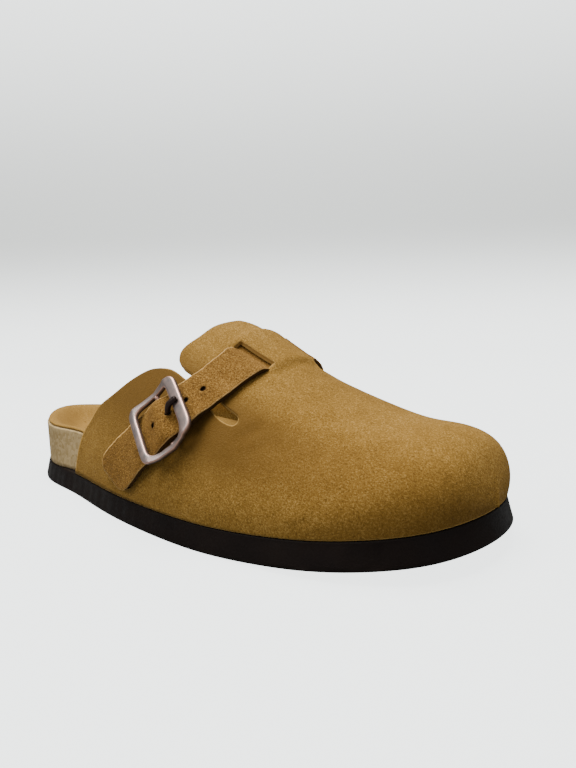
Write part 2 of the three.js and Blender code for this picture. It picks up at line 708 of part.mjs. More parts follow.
// The strap's middle line, sampled: its shares and its distance from the strap's free end
const routeCurve = edgeCurve(STRAP_ROUTE);
const ROUTE_SAMPLES = 300;
const route = shares(ROUTE_SAMPLES).map((k) => {
  const [along, rise] = routeCurve(k);
  return { k, along, rise, point: lastAt(along, rise, UPPER_INSET), distance: 0 };
});
for (let i = 1; i < route.length; i++) {
  route[i].distance = route[i - 1].distance + route[i].point.distanceTo(route[i - 1].point);
}
const strapLength = route[route.length - 1].distance;

// Place on the route at a distance from the free end, with the directions ahead and across
function routeAt(distance) {
  const next = route.findIndex((sample) => sample.distance >= distance);
  const i = next < 0 ? route.length - 1 : Math.max(next, 1);
  const part = (distance - route[i - 1].distance) / (route[i].distance - route[i - 1].distance);
  const [along, rise] = routeCurve(mix(route[i - 1].k, route[i].k, part));
  const frame = lastFrame(along, rise);
  const [before, after] = [route[Math.max(i - 2, 0)], route[Math.min(i + 1, route.length - 1)]];
  const ahead = after.point.clone().sub(before.point).normalize();
  const across = frame.normal.clone().cross(ahead).normalize();
  return { along, rise, ahead, across, ...frame };
}

// The strap narrows from its free end to the outer slot
const slotDistance = route.find((sample) => sample.rise >= BRIDGE.from).distance;
function strapWidthAt(distance) {
  return STRAP_WIDTH * mix(1, STRAP_NARROWING, Math.min(1, distance / slotDistance));
}

// A point of the strap at a distance along it, a way across it and a height over the upper
function strapPoint(distance, way, height) {
  const { along, rise, alongStep, riseStep, across } = routeAt(distance);
  const [aa, ar, rr] = [alongStep.dot(alongStep), alongStep.dot(riseStep), riseStep.dot(riseStep)];
  const [va, vr] = [across.dot(alongStep) * way, across.dot(riseStep) * way];
  const det = aa * rr - ar * ar;
  const sideRise = rise + (vr * aa - va * ar) / det;
  const side = lastFrame(along + (va * rr - vr * ar) / det, sideRise);
  const own = smooth((rise - 0.55) / 0.1);
  const turn = (BRIDGE.turn * way * smooth((1 - rise) / 0.15)) / strapWidthAt(distance);
  return side.point.addScaledVector(side.normal, strapLift(mix(rise, sideRise + turn, own)) + height);
}

// The strap's free end is cut at a slant and its corners are round: how far back the end lies at a way across
const STRAP_STEP = 3.2;
const STRAP_WAYS = [-1, -0.94, -0.8, -0.45, 0, 0.45, 0.8, 0.94, 1];
const END_ZONE = 30;
function endReach(way) {
  const slant = STRAP_END_SLANT * (0.5 - way / STRAP_WIDTH);
  const corner = Math.max(0, Math.abs(way) - (STRAP_WIDTH / 2 - STRAP_CORNER));
  return slant + STRAP_CORNER - Math.sqrt(STRAP_CORNER ** 2 - corner ** 2);
}

// Buckle plane: p along the strap away from its free end, q across it, h away from the foot
const buckleDistance = route.find((sample) => sample.rise >= BUCKLE_RISE).distance;
const bucklePlace = (() => {
  const { point, ahead, across, normal } = routeAt(buckleDistance);
  return new THREE.Matrix4().makeBasis(ahead, across, normal).setPosition(point);
})();

function strapGeometry() {
  const rings = shares(Math.round(strapLength / STRAP_STEP)).map((k) => {
    const start = k * strapLength;
    const face = (height) => STRAP_WAYS.map((share) => {
      const way = (share * strapWidthAt(start)) / 2;
      return strapPoint(start + endReach(way) * Math.max(0, 1 - start / END_ZONE), way, height);
    });
    return [...face(0), ...face(STRAP_THICKNESS).reverse()];
  });
  let solid = solidOf(closeEnds(skinGeometry(rings), rings).geometry());
  for (const order of [-1, 1, 2]) {
    const distance = buckleDistance + PRONG_HOLE + order * STRAP_HOLE_PITCH;
    const { normal, rise } = routeAt(distance);
    const punch = new THREE.CylinderGeometry(STRAP_HOLE / 2, STRAP_HOLE / 2, STRAP_THICKNESS * 4, 10);
    punch.applyQuaternion(new THREE.Quaternion().setFromUnitVectors(new THREE.Vector3(0, 1, 0), normal));
    punch.translate(...strapPoint(distance, 0, STRAP_THICKNESS / 2));
    solid = solid.subtract(solidOf(punch));
  }
  return geometryOf(solid.subtract(prongSolid(CLEARANCE).transform(bucklePlace.elements)));
}

const BUCKLE_STATIONS = 48;
const CORNER_POWER = 0.24;
const rounded = (v) => Math.sign(v) * Math.abs(v) ** CORNER_POWER;

// The frame's reach from the pin to the outside of either bar
const frameReach = (p) => BUCKLE_LENGTH / 2 - Math.sign(p) * BUCKLE_PIN_OFFSET;
const frameBar = (p) => (p > 0 ? BUCKLE_FAR_BAR : BUCKLE_NEAR_BAR);

// Height of the frame's middle: level bars, with arms that dip to the pin between them in a parabola
const frameHeight = (p) => PIN_HEIGHT + BUCKLE_DIP * Math.min(1, (p / (frameReach(p) - frameBar(p))) ** 2);

function frameGeometry() {
  const bow = (p) => BUCKLE_BOW * (1 - (p / frameReach(p)) ** 2);
  const ringAt = (angle) => {
    const reach = frameReach(Math.cos(angle));
    const p = reach * rounded(Math.cos(angle));
    const q = (BUCKLE_WIDTH / 2) * rounded(Math.sin(angle));
    const pIn = (reach - frameBar(Math.cos(angle))) * rounded(Math.cos(angle));
    const qIn = (BUCKLE_WIDTH / 2 - BUCKLE_ARM) * rounded(Math.sin(angle));
    const outer = [p, q + Math.sign(q) * bow(p)];
    const inner = [pIn, qIn + Math.sign(q) * bow(p)];
    const at = (k, h) => new THREE.Vector3(
      mix(outer[0], inner[0], k),
      mix(outer[1], inner[1], k),
      frameHeight(mix(outer[0], inner[0], k)) + h * BUCKLE_THICKNESS,
    );
    return [at(0, -0.5), at(0, 0.15), at(0.22, 0.5), at(0.78, 0.5), at(1, 0.2), at(1, -0.5)];
  };
  const rings = shares(BUCKLE_STATIONS).map((k) => ringAt(k * 2 * Math.PI + 1e-9));
  rings[BUCKLE_STATIONS] = rings[0];
  const pin = new THREE.CylinderGeometry(PIN_DIAMETER / 2, PIN_DIAMETER / 2, BUCKLE_WIDTH + BUCKLE_BOW, 12);
  pin.translate(0, 0, PIN_HEIGHT);
  const joined = solidOf(skinGeometry(rings).geometry()).add(solidOf(pin));
  return geometryOf(joined.subtract(prongSolid(CLEARANCE)));
}

// Prong: round the pin, up through the strap and down on to the far bar
function prongSolid(extra) {
  const radius = PRONG_DIAMETER / 2;
  const round = PIN_DIAMETER / 2 + CLEARANCE + radius;
  const path = [
    [-round, PIN_HEIGHT],
    [-round * 0.72, PIN_HEIGHT + round * 0.72],
    [0, PIN_HEIGHT + round],
    [PRONG_REACH * 0.24, STRAP_OVER_PIN - 0.4],
    [PRONG_REACH * 0.48, STRAP_OVER_PIN + 1.2],
    [PRONG_REACH * 0.68, BAR_HEIGHT + BUCKLE_THICKNESS / 2 + radius],
    [PRONG_REACH, BAR_HEIGHT + BUCKLE_THICKNESS / 2 + 0.2],
  ].map(([p, h]) => new THREE.Vector3(p, 0, h));
  const section = new THREE.Shape().absarc(0, 0, radius + extra, 0, Math.PI * 2);
  return solidOf(new THREE.ExtrudeGeometry(section, {
    steps: 14,
    curveSegments: 4,
    extrudePath: new THREE.CatmullRomCurve3(path),
  }));
}

// Tab: a fold of leather round the pin, sewn to the quarter below the strap, open in the middle for the prong
function tabGeometry() {
  const inside = PIN_DIAMETER / 2 + CLEARANCE;
  const outside = inside + TAB_THICKNESS;
  const outline = new THREE.Shape();
  outline.moveTo(-TAB_LENGTH, PIN_HEIGHT - outside);
  outline.lineTo(0, PIN_HEIGHT - outside);
  outline.absarc(0, PIN_HEIGHT, outside, -Math.PI / 2, Math.PI * 0.75);
  outline.lineTo(-TAB_LENGTH * 0.6, PIN_HEIGHT - inside);
  outline.lineTo(-TAB_LENGTH, PIN_HEIGHT - inside);
  const eye = new THREE.Path().absarc(0, PIN_HEIGHT, inside, 0, Math.PI * 2);
  outline.holes.push(eye);
  const depth = { depth: TAB_WIDTH, bevelEnabled: false, curveSegments: 8 };
  const slab = new THREE.ExtrudeGeometry(outline, depth);
  slab.rotateX(Math.PI / 2);
  slab.translate(0, TAB_WIDTH / 2, 0);
  const slit = new THREE.BoxGeometry(4 * PIN_DIAMETER, PRONG_DIAMETER + 4 * CLEARANCE, 4 * PIN_DIAMETER);
  slit.translate(0, 0, PIN_HEIGHT + PIN_DIAMETER - CLEARANCE);
  return geometryOf(solidOf(slab).subtract(solidOf(slit)));
}

// Materials
const suede = new THREE.MeshStandardMaterial({ color: 0xa9783a, roughness: 0.95 });
const strapSuede = new THREE.MeshStandardMaterial({ color: 0x9a7038, roughness: 0.95 });
const cork = new THREE.MeshStandardMaterial({ color: 0xb9a17e, roughness: 0.9 });
const lining = new THREE.MeshStandardMaterial({ color: 0xb98f50, roughness: 0.95 });
const foam = new THREE.MeshStandardMaterial({ color: 0x2b1a17, roughness: 0.75 });
const metal = new THREE.MeshStandardMaterial({ color: 0x8d7468, roughness: 0.4, metalness: 0.9 });

function part(name, geometry, material) {
  const mesh = new THREE.Mesh(geometry, material);
  mesh.name = name;
  return mesh;
}

const clog = new THREE.Group();
clog.add(part("outsole", outsoleGeometry(), foam));
clog.add(part("footbed", footbedGeometry(), cork));
clog.add(part("insole", liningGeometry(), lining));
clog.add(part("upper", upperGeometry(), suede));
clog.add(part("strap", strapGeometry(), strapSuede));

const buckle = new THREE.Group();
buckle.add(part("buckle_frame", frameGeometry(), metal));
buckle.add(part("buckle_prong", geometryOf(prongSolid(0)), metal));
buckle.add(part("buckle_tab", tabGeometry(), strapSuede));
buckle.applyMatrix4(bucklePlace);
clog.add(buckle);

// The whole shoe moves sideways so that the origin lies below the middle of its box
const extent = new THREE.Box3().setFromObject(clog, true);
clog.position.set(-(extent.min.x + extent.max.x) / 2, -(extent.min.y + extent.max.y) / 2, -extent.min.z);

export default clog;
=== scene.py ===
import logging
import math
from dataclasses import dataclass, field
from enum import Enum
from typing import Callable, Sequence

import bpy
import numpy as np
from mathutils import Matrix, Vector


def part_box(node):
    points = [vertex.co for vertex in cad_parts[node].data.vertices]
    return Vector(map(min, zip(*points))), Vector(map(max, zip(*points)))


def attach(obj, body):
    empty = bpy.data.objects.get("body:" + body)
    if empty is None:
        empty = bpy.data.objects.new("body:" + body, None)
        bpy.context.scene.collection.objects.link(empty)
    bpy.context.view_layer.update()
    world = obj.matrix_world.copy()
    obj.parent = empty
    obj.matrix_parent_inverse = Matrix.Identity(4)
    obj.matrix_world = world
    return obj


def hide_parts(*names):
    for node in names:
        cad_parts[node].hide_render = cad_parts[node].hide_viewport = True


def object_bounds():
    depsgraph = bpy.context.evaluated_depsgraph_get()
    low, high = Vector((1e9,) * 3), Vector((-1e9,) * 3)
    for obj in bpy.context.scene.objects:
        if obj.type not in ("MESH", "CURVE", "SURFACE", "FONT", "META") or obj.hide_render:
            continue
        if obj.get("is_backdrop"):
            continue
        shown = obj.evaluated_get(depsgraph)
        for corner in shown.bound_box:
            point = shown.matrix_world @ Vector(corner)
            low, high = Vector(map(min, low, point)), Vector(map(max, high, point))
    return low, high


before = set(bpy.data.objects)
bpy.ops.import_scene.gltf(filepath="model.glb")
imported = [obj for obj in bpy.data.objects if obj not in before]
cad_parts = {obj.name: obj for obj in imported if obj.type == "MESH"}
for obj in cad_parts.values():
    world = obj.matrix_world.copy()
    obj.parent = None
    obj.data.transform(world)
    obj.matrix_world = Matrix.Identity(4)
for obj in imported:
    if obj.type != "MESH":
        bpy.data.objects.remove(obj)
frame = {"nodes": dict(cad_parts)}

logging.basicConfig(level=logging.INFO, format="%(levelname)s %(message)s")
log = logging.getLogger("clog")

Array = np.ndarray
Four = tuple[Array, Array, Array, Array]
Layers = dict[str, Array]
Edge = Callable[[Array], Array]
Colour = tuple[float, float, float, float]
Socket = bpy.types.NodeSocket
MM = 0.001
CAD_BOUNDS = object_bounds()


class Side(Enum):
    """The two sides of the shoe; the value is the sign of Y."""

    OUTER = -1
    INNER = 1


def mix(a: Array | float, b: Array | float, k: Array | float) -> Array | float:
    """Returns the value a share k of the way from a to b."""
    return a + (b - a) * k


def smooth(k: Array | float) -> Array:
    """Returns an S-curve that is 0 below 0 and 1 above 1: 3k squared minus 2k cubed."""
    c = np.clip(k, 0.0, 1.0)
    return c * c * (3 - 2 * c)


def bump(v: Array, middle: float, width: float) -> Array:
    """Returns a bell of height 1 round middle that falls to about 0.37 one width away."""
    return np.exp(-(((v - middle) / width) ** 2))


def norm(v: Array) -> Array:
    """Returns vectors scaled to length 1 along the last axis."""
    return v / np.maximum(np.linalg.norm(v, axis=-1, keepdims=True), 1e-12)


def stretches(*parts: tuple[float, float, int]) -> Array:
    """Returns even steps over stretches (start, end, count) that follow each other, without doubles."""
    return np.concatenate([np.linspace(*part)[:-1] for part in parts] + [[parts[-1][1]]])


class Spline:
    """Natural cubic spline through knots: each stretch is a cubic, with no bend at the two ends."""

    def __init__(self, x: Sequence[float], y: Sequence[float]) -> None:
        """Solves the bends at the knots.

        Args:
            x: rising knot positions.
            y: values at the knots.
        """
        self.x = np.asarray(x, float)
        self.y = np.asarray(y, float)
        n = len(self.x)
        step = np.diff(self.x)
        rows = np.eye(n)
        right = np.zeros(n)
        inner = np.arange(1, n - 1)
        rows[inner, inner - 1] = step[:-1]
        rows[inner, inner] = 2 * (step[:-1] + step[1:])
        rows[inner, inner + 1] = step[1:]
        right[inner] = 6 * np.diff(np.diff(self.y) / step)
        self.bend = np.linalg.solve(rows, right)

    def __call__(self, v: Array | float) -> Array:
        """Returns the spline's values at v.

        Args:
            v: places, in the units of the knots.

        Returns:
            An array of v's shape.
        """
        v = np.asarray(v, float)
        i = np.clip(np.searchsorted(self.x, v, side="right") - 1, 0, len(self.x) - 2)
        step = self.x[i + 1] - self.x[i]
        a = (self.x[i + 1] - v) / step
        b = (v - self.x[i]) / step
        cubic = ((a**3 - a) * self.bend[i] + (b**3 - b) * self.bend[i + 1]) * step**2 / 6
        return a * self.y[i] + b * self.y[i + 1] + cubic


def angle_at(along: Array | float) -> Array:
    """Returns the lengthwise angle of a share of the length: 0 at the heel and pi at the toe."""
    return np.arccos(1 - 2 * np.clip(along, 0.0, 1.0))


def along_at(angle: Array | float) -> Array:
    """Returns the share of the length at a lengthwise angle."""
    return (1 - np.cos(np.clip(angle, 0.0, math.pi))) / 2


def column(table: Sequence[tuple], index: int) -> Spline:
    """Returns one column of a table of sections as a spline over the lengthwise angle."""
    return Spline([float(angle_at(row[0])) for row in table], [row[index] for row in table])


@dataclass
class Last:
    """The last: the form that sole, footbed, upper and strap are all worked out from."""

    length: float = 280.0
    ball_width: float = 105.0
    instep: float = 75.0
    sole: float = 9.4
    heel_lift: float = 1.8
    toe_spring: float = 7.6
    clearance: float = 0.3
    tuck: float = 1.3
    lift_ends: float = 0.16
    spring_starts: float = 0.66
    rocker_power: float = 1.8
    # share of the length, half width and middle as shares of half the ball width
    outline: tuple = (
        (0.0, 0.0, 0.008), (0.06, 0.461, 0.015), (0.15, 0.684, 0.002), (0.28, 0.731, -0.05),
        (0.42, 0.789, -0.12), (0.55, 0.884, -0.099), (0.66, 0.956, -0.038), (0.76, 0.971, 0.027),
        (0.85, 0.922, 0.074), (0.92, 0.783, 0.101), (0.97, 0.562, 0.12), (1.0, 0.0, 0.13),
    )
    # share of the length, ridge (of the instep), crown (of half the ball width), wall, flat, swell
    sections: tuple = (
        (0.08, 1.187, 0.017, 0.6, 0.3, 0.03), (0.2, 1.187, 0.017, 0.6, 0.3, 0.03),
        (0.3, 1.173, 0.017, 0.6, 0.3, 0.03), (0.4, 1.133, 0.017, 0.58, 0.3, 0.03),
        (0.48, 1.073, 0.036, 0.55, 0.34, 0.03), (0.55, 1.021, 0.055, 0.5, 0.38, 0.035),
        (0.6, 0.978, 0.065, 0.46, 0.4, 0.055), (0.65, 0.868, 0.074, 0.44, 0.42, 0.08),
        (0.7, 0.758, 0.074, 0.44, 0.44, 0.105), (0.76, 0.644, 0.093, 0.46, 0.48, 0.13),
        (0.82, 0.549, 0.131, 0.5, 0.54, 0.155), (0.88, 0.485, 0.17, 0.55, 0.58, 0.18),
        (0.92, 0.472, 0.189, 0.58, 0.6, 0.195), (0.955, 0.442, 0.208, 0.58, 0.6, 0.2),
        (0.98, 0.368, 0.208, 0.58, 0.58, 0.2), (0.993, 0.26, 0.17, 0.58, 0.56, 0.2),
        (1.0, 0.113, 0.13, 0.56, 0.56, 0.2),
    )

    def __post_init__(self) -> None:
        """Turns the tables into splines and finds the last's place in the row frame."""
        self.half_ball = self.ball_width / 2
        self.half = column(self.outline, 1)
        self.middle = column(self.outline, 2)
        self.ridge, self.crown, self.wall, self.flat, self.swell = (
            column(self.sections, i) for i in range(1, 6)
        )
        angle = np.linspace(0, math.pi, 2001)
        edges = [(self.middle(angle) + s * self.half(angle)) * self.half_ball for s in (-1, 1)]
        low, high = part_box("outsole")
        self.shift_y = (low[1] + high[1]) / (2 * MM) - (edges[0].min() + edges[1].max()) / 2

    def underside(self, along: Array) -> Array:
        """Returns the height of the outsole's underside: level, with both ends lifted by a power curve.

        Args:
            along: shares of the length.

        Returns:
            Heights in mm.
        """
        heel = np.maximum(0, (self.lift_ends - along) / self.lift_ends) ** self.rocker_power
        toe = np.maximum(0, (along - self.spring_starts) / (1 - self.spring_starts)) ** self.rocker_power
        return self.heel_lift * heel + self.toe_spring * toe

    def edge(self, angle: Array, side: Array | int, inset: Array | float) -> Four:
        """Finds points of the outline, moved in along the outline's own normal.

        Args:
            angle: lengthwise angles.
            side: sign of Y for each point.
            inset: distance in from the outline.

        Returns:
            x, y and the two parts of the outward normal.
        """
        step = 1e-3

        def raw(a: Array) -> tuple[Array, Array]:
            """Returns x and y on the outline itself."""
            a = np.clip(a, 0, math.pi)
            return (along_at(a) - 0.5) * self.length, (self.middle(a) + side * self.half(a)) * self.half_ball

        x0, y0 = raw(angle - step)
        x1, y1 = raw(angle + step)
        x, y = raw(angle)
        size = np.hypot(x1 - x0, y1 - y0)
        at_end = (angle <= 0) | (angle >= math.pi)
        nx = np.where(at_end, np.sign(angle - 1), -side * (y1 - y0) / size)
        ny = np.where(at_end, 0.0, side * (x1 - x0) / size)
        return x - inset * nx, y - inset * ny, nx, ny

    def surface(self, along: Array, rise: Array, inset: float) -> Array:
        """Works out points of the upper's surface.

        Each section side is one cubic curve. It starts at the feather and leaves it upwards, leaning out
        by swell; it comes in level at the crown. rise runs 0 to 1 on the outer side and 1 to 2 on the inner.

        Args:
            along: shares of the length.
            rise: shares of the way round, of the same shape.
            inset: distance in from the outline and down from the ridge.

        Returns:
            An array of points with one more axis.
        """
        along, rise = np.broadcast_arrays(np.asarray(along, float), np.asarray(rise, float))
        angle = angle_at(along)
        side = np.where(rise <= 1, -1, 1)
        s = np.where(rise <= 1, rise, 2 - rise)[..., None]
        fx, fy, nx, ny = self.edge(angle, side, inset + self.tuck)
        base = self.underside(along) + self.sole + self.clearance
        step = 1e-3
        low, high = along_at(angle - step), along_at(angle + step)
        run = (high - low) * self.length
        climb = (self.ridge(angle_at(high)) - self.ridge(angle_at(low))) * self.instep
        slope = np.hypot(run, climb)
        ridge = self.ridge(angle) * self.instep + self.sole
        top_x = (along - 0.5) * self.length + inset * climb / slope
        top_z = ridge - inset * run / slope
        top_y = self.crown(angle) * self.half_ball
        height = top_z - base
        lean = self.swell(angle) * height
        flat = self.flat(angle)
        p0 = np.stack([fx, fy, base], -1)
        p1 = np.stack([fx + nx * lean, fy + ny * lean, base + self.wall(angle) * height], -1)
        p2 = np.stack([mix(top_x, fx, flat), mix(top_y, fy, flat), top_z], -1)
        p3 = np.stack([top_x, top_y, top_z], -1)
        return (1 - s) ** 3 * p0 + 3 * (1 - s) ** 2 * s * p1 + 3 * (1 - s) * s**2 * p2 + s**3 * p3

    def frames(self, along: Array, rise: Array, inset: float) -> Four:
        """Returns points, their steps for one unit of along and of rise, and the outward normals.

        Args:
            along: shares of the length.
            rise: shares of the way round: 0 outer feather, 1 crown, 2 inner feather.
            inset: distance in from the outline and down from the ridge.

        Returns:
            Points, steps for one unit of along, steps for one unit of rise, and normals.
        """
        step = 2e-3
        here = self.surface(along, rise, inset)
        ahead = self.surface(along + step, rise, inset) - self.surface(along - step, rise, inset)
        up = self.surface(along, rise + step, inset) - self.surface(along, rise - step, inset)
        ahead, up = ahead / (2 * step), up / (2 * step)
        return here, ahead, up, norm(np.cross(ahead, up))

    def metres(self, points: Array) -> Array:
        """Returns points of the last's frame as metres in the row frame."""
        return (points + np.array([0.0, self.shift_y, 0.0])) * MM


LAST = Last()


def mesh_object(name: str, points: Array, faces: Array, layers: Layers | None = None) -> bpy.types.Object:
    """Makes one smooth mesh object at the origin.

    Args:
        name: the piece's name.
        points: vertices in millimetres in the last's frame.
        faces: quads as rows of four vertex numbers; a triangle repeats its last one.
        layers: values for each vertex, by attribute name.

    Returns:
        The new object, linked to the scene.
    """
    mesh = bpy.data.meshes.new(name)
    flat = np.asarray(faces, int)
    is_quad = flat[:, 2] != flat[:, 3]
    sizes = np.where(is_quad, 4, 3)
    keep = np.ones_like(flat, bool)
    keep[~is_quad, 3] = False
    mesh.vertices.add(len(points))
    mesh.vertices.foreach_set("co", LAST.metres(np.asarray(points, float)).astype(np.float32).ravel())
    mesh.loops.add(int(sizes.sum()))
    mesh.loops.foreach_set("vertex_index", flat[keep].astype(np.int32))
    mesh.polygons.add(len(flat))
    mesh.polygons.foreach_set("loop_start", np.concatenate([[0], np.cumsum(sizes)[:-1]]).astype(np.int32))
    mesh.polygons.foreach_set("use_smooth", np.ones(len(flat), bool))
    mesh.update(calc_edges=True)
    mesh.validate()
    for key, values in (layers or {}).items():
        layer = mesh.attributes.new(key, "FLOAT", "POINT")
        layer.data.foreach_set("value", np.asarray(values, np.float32))
    piece = bpy.data.objects.new(name, mesh)
    bpy.context.scene.collection.objects.link(piece)
    return piece


def merged(points: Array, faces: Array, layers: Layers, grain: float = 0.002) -> tuple:
    """Joins points that lie together and drops faces that vanish.

    Args:
        points: vertices, with doubles.
        faces: quads over them.
        layers: values for each vertex.
        grain: how near two points have to be, in mm.

    Returns:
        The points, faces and layers without doubles.
    """
    # the share keeps round coordinates, such as the toe's middle, away from the borders between keys
    keys = np.round(points / grain + 0.2).astype(np.int64)
    _, first, back = np.unique(keys, axis=0, return_index=True, return_inverse=True)
    quads = back.reshape(-1)[faces]
    rolled = np.roll(quads, -1, axis=1)
    same = quads == rolled
    quads = quads[same.sum(1) <= 1]
    same = same[same.sum(1) <= 1]
    turn = np.where(same.any(1), (same.argmax(1) + 2) % 4, 0)
    quads = np.take_along_axis(quads, (np.arange(4)[None] + turn[:, None]) % 4, axis=1)
    triangle = np.where(same.any(1))[0]
    quads[triangle] = np.take_along_axis(quads[triangle], np.array([[0, 1, 2, 2]]), axis=1)
    return points[first], quads, {key: value[first] for key, value in layers.items()}


def skin(rings: Array, closed_along: bool = False) -> Array:
    """Returns the quads of a tube through rings of points, as vertex numbers of the flattened array.

    Args:
        rings: grid of points, one closed ring in each row.
        closed_along: whether the last ring joins the first.

    Returns:
        Rows of four vertex numbers.
    """
    n, m = rings.shape[:2]
    i = np.arange(n if closed_along else n - 1)[:, None]
    j = np.arange(m)[None]
    k = (j + 1) % m
    i2 = (i + 1) % n
    return np.stack([i * m + j, i * m + k, i2 * m + k, i2 * m + j], -1).reshape(-1, 4)


def turned_over(faces: Array) -> Array:
    """Returns the faces with their corners in the opposite order; a triangle still repeats its last one."""
    is_quad = faces[:, 2] != faces[:, 3]
    return np.where(is_quad[:, None], faces[:, ::-1], faces[:, [2, 1, 0, 0]])


def outward(points: Array, faces: Array) -> Array:
    """Returns the faces, turned so that the volume they enclose is positive.

    Args:
        points: the vertices.
        faces: quads over them.

    Returns:
        The faces, all turned over or none.
    """
    a, b, c, d = (points[faces[:, i]] for i in range(4))
    volume = (a * (np.cross(b, c) + np.cross(c, d))).sum()
    return faces if volume > 0 else turned_over(faces)


@dataclass
class Sheet:
    """A sheet with two faces over patches of a grid; every open edge gets a rounded rim."""

    name: str
    bulge: float = 0.35
    rim_rows: int = 4
    far: float = 30.0
    block: int = 4000
    outer: list[Array] = field(default_factory=list)
    inner: list[Array] = field(default_factory=list)
    shares: list[Array] = field(default_factory=list)
    cells: list[Array] = field(default_factory=list)
    count: int = 0

    def add(self, outer: Array, inner: Array, shares: Array, shut: Array | None = None) -> None:
        """Adds a patch.

        Args:
            outer: grid of points of the outer face.
            inner: grid of points of the inner face.
            shares: grid of parameter pairs kept as attributes.
            shut: grid of cells, true where the sheet is whole; all of them if left out.
        """
        n, m = outer.shape[:2]
        ids = np.arange(n * m).reshape(n, m) + self.count
        quads = np.stack([ids[:-1, :-1], ids[:-1, 1:], ids[1:, 1:], ids[1:, :-1]], -1)
        self.cells.append(quads.reshape(-1, 4) if shut is None else quads[shut])
        self.outer.append(outer.reshape(-1, 3))
        self.inner.append(inner.reshape(-1, 3))
        self.shares.append(shares.reshape(-1, shares.shape[-1]))
        self.count += n * m

    def edge_reach(self, points: Array, border: Array) -> Array:
        """Returns each point's distance to the nearest border point, in mm, at most `far`.

        Args:
            points: points of the sheet.
            border: points on its open edges.

        Returns:
            One distance for each point.
        """
        reach = []
        for start in range(0, len(points), self.block):
            part = points[start:start + self.block]
            reach.append(np.sqrt(((part[:, None] - border[None]) ** 2).sum(-1).min(1)))
        return np.minimum(self.far, np.concatenate(reach))

    def welded(self) -> Four:
        """Joins the patches and keeps only the points that a cell uses.

        Returns:
            Points of the outer face, points of the inner face, their shares, and the cells.
        """
        layers = {"inner": np.concatenate(self.inner), "shares": np.concatenate(self.shares)}
        points, cells, layers = merged(np.concatenate(self.outer), np.concatenate(self.cells), layers)
        used = np.unique(cells)
        lookup = np.full(len(points), -1)
        lookup[used] = np.arange(len(used))
        return points[used], layers["inner"][used], layers["shares"][used], lookup[cells]

    @staticmethod
    def open_edges(cells: Array) -> Array:
        """Finds the edges that only one cell has.

        Args:
            cells: quads over the points of one face.

        Returns:
            Pairs of vertex numbers, in the order of their cell.
        """
        edges = np.concatenate([cells[:, [0, 1]], cells[:, [1, 2]], cells[:, [2, 3]], cells[:, [3, 0]]])
        edges = edges[edges[:, 0] != edges[:, 1]]
        count = cells.max() + 1
        code = edges[:, 0] * count + edges[:, 1]
        return edges[~np.isin(code, edges[:, 1] * count + edges[:, 0])]

    def rims(self, points: Array, inner: Array, lone: Array) -> tuple[Array, Array, Array]:
        """Works out the rounded rims.

        A rim's rows go from the outer to the inner face on a half ellipse: the point between the faces,
        moved by cosine of the turn to either face and by sine of the turn times bulge away from the sheet.

        Args:
            points: points of the outer face.
            inner: points of the inner face.
            lone: the open edges.

        Returns:
            The numbers of the points on a rim, the rows of points, and the quads between them.
        """
        count = len(points)
        rim = np.unique(lone)
        slot_of = np.full(count, -1)
        slot_of[rim] = np.arange(len(rim))
        tangent = np.zeros((count, 3))
        step = norm(points[lone[:, 1]] - points[lone[:, 0]])
        np.add.at(tangent, lone[:, 0], step)
        np.add.at(tangent, lone[:, 1], step)
        away = norm(np.cross(tangent[rim], norm(points - inner)[rim]))
        middle = (points[rim] + inner[rim]) / 2
        half = (points[rim] - inner[rim]) / 2
        rows = [middle + half * math.cos(t) + away * self.bulge * math.sin(t) for t in self.turns()]
        starts = 2 * count + np.arange(self.rim_rows) * len(rim)
        chain = [lone, *[start + slot_of[lone] for start in starts], lone + count]
        strips = [np.stack([a[:, 1], a[:, 0], b[:, 0], b[:, 1]], -1) for a, b in zip(chain[:-1], chain[1:])]
        return rim, np.concatenate(rows), np.concatenate(strips)

    def turns(self) -> Array:
        """Returns the angles of a rim's rows round the half ellipse."""
        return np.linspace(0, math.pi, self.rim_rows + 2)[1:-1]

    def build(self) -> bpy.types.Object:
        """Welds the patches, adds the inner face and the rims.

        Returns:
            The new object. Its attributes are edge_mm, the distance to the nearest open edge, depth,
            0 on the outer face and 1 on the inner one, and share_0 onwards, the shares of add.
        """
        points, inner, shares, cells = self.welded()
        count = len(points)
        rim, rows, strips = self.rims(points, inner, self.open_edges(cells))
        everything = np.concatenate([points, inner, rows])
        faces = outward(everything, np.concatenate([cells, turned_over(cells) + count, strips]))
        reach = self.edge_reach(points, points[rim])
        down = np.repeat((1 - np.cos(self.turns())) / 2, len(rim))
        spread = np.concatenate([shares, shares, np.tile(shares[rim], (self.rim_rows, 1))])
        values = {"edge_mm": np.concatenate([reach, reach, np.zeros(len(rows))]),
                  "depth": np.concatenate([np.zeros(count), np.ones(count), down])}
        values |= {f"share_{index}": spread[:, index] for index in range(spread.shape[1])}
        return mesh_object(self.name, everything, faces, values)


@dataclass
class Route:
    """A drawn line in shares (along, rise), run through evenly by its own length."""

    table: tuple
    length: float = 280.0
    width: float = 105.0

    def __post_init__(self) -> None:
        """Turns the table into two splines over the share of the line's length."""
        rows = np.asarray(self.table, float)
        steps = np.hypot(np.diff(rows[:, 0]) * self.length, np.diff(rows[:, 1]) * self.width)
        knots = np.concatenate([[0], np.cumsum(steps)]) / steps.sum()
        self.along = Spline(knots, rows[:, 0])
        self.rise = Spline(knots, rows[:, 1])

    def __call__(self, k: Array) -> Array:
        """Returns pairs (along, rise) at shares k of the line."""
        return np.stack([self.along(k), self.rise(k)], -1)


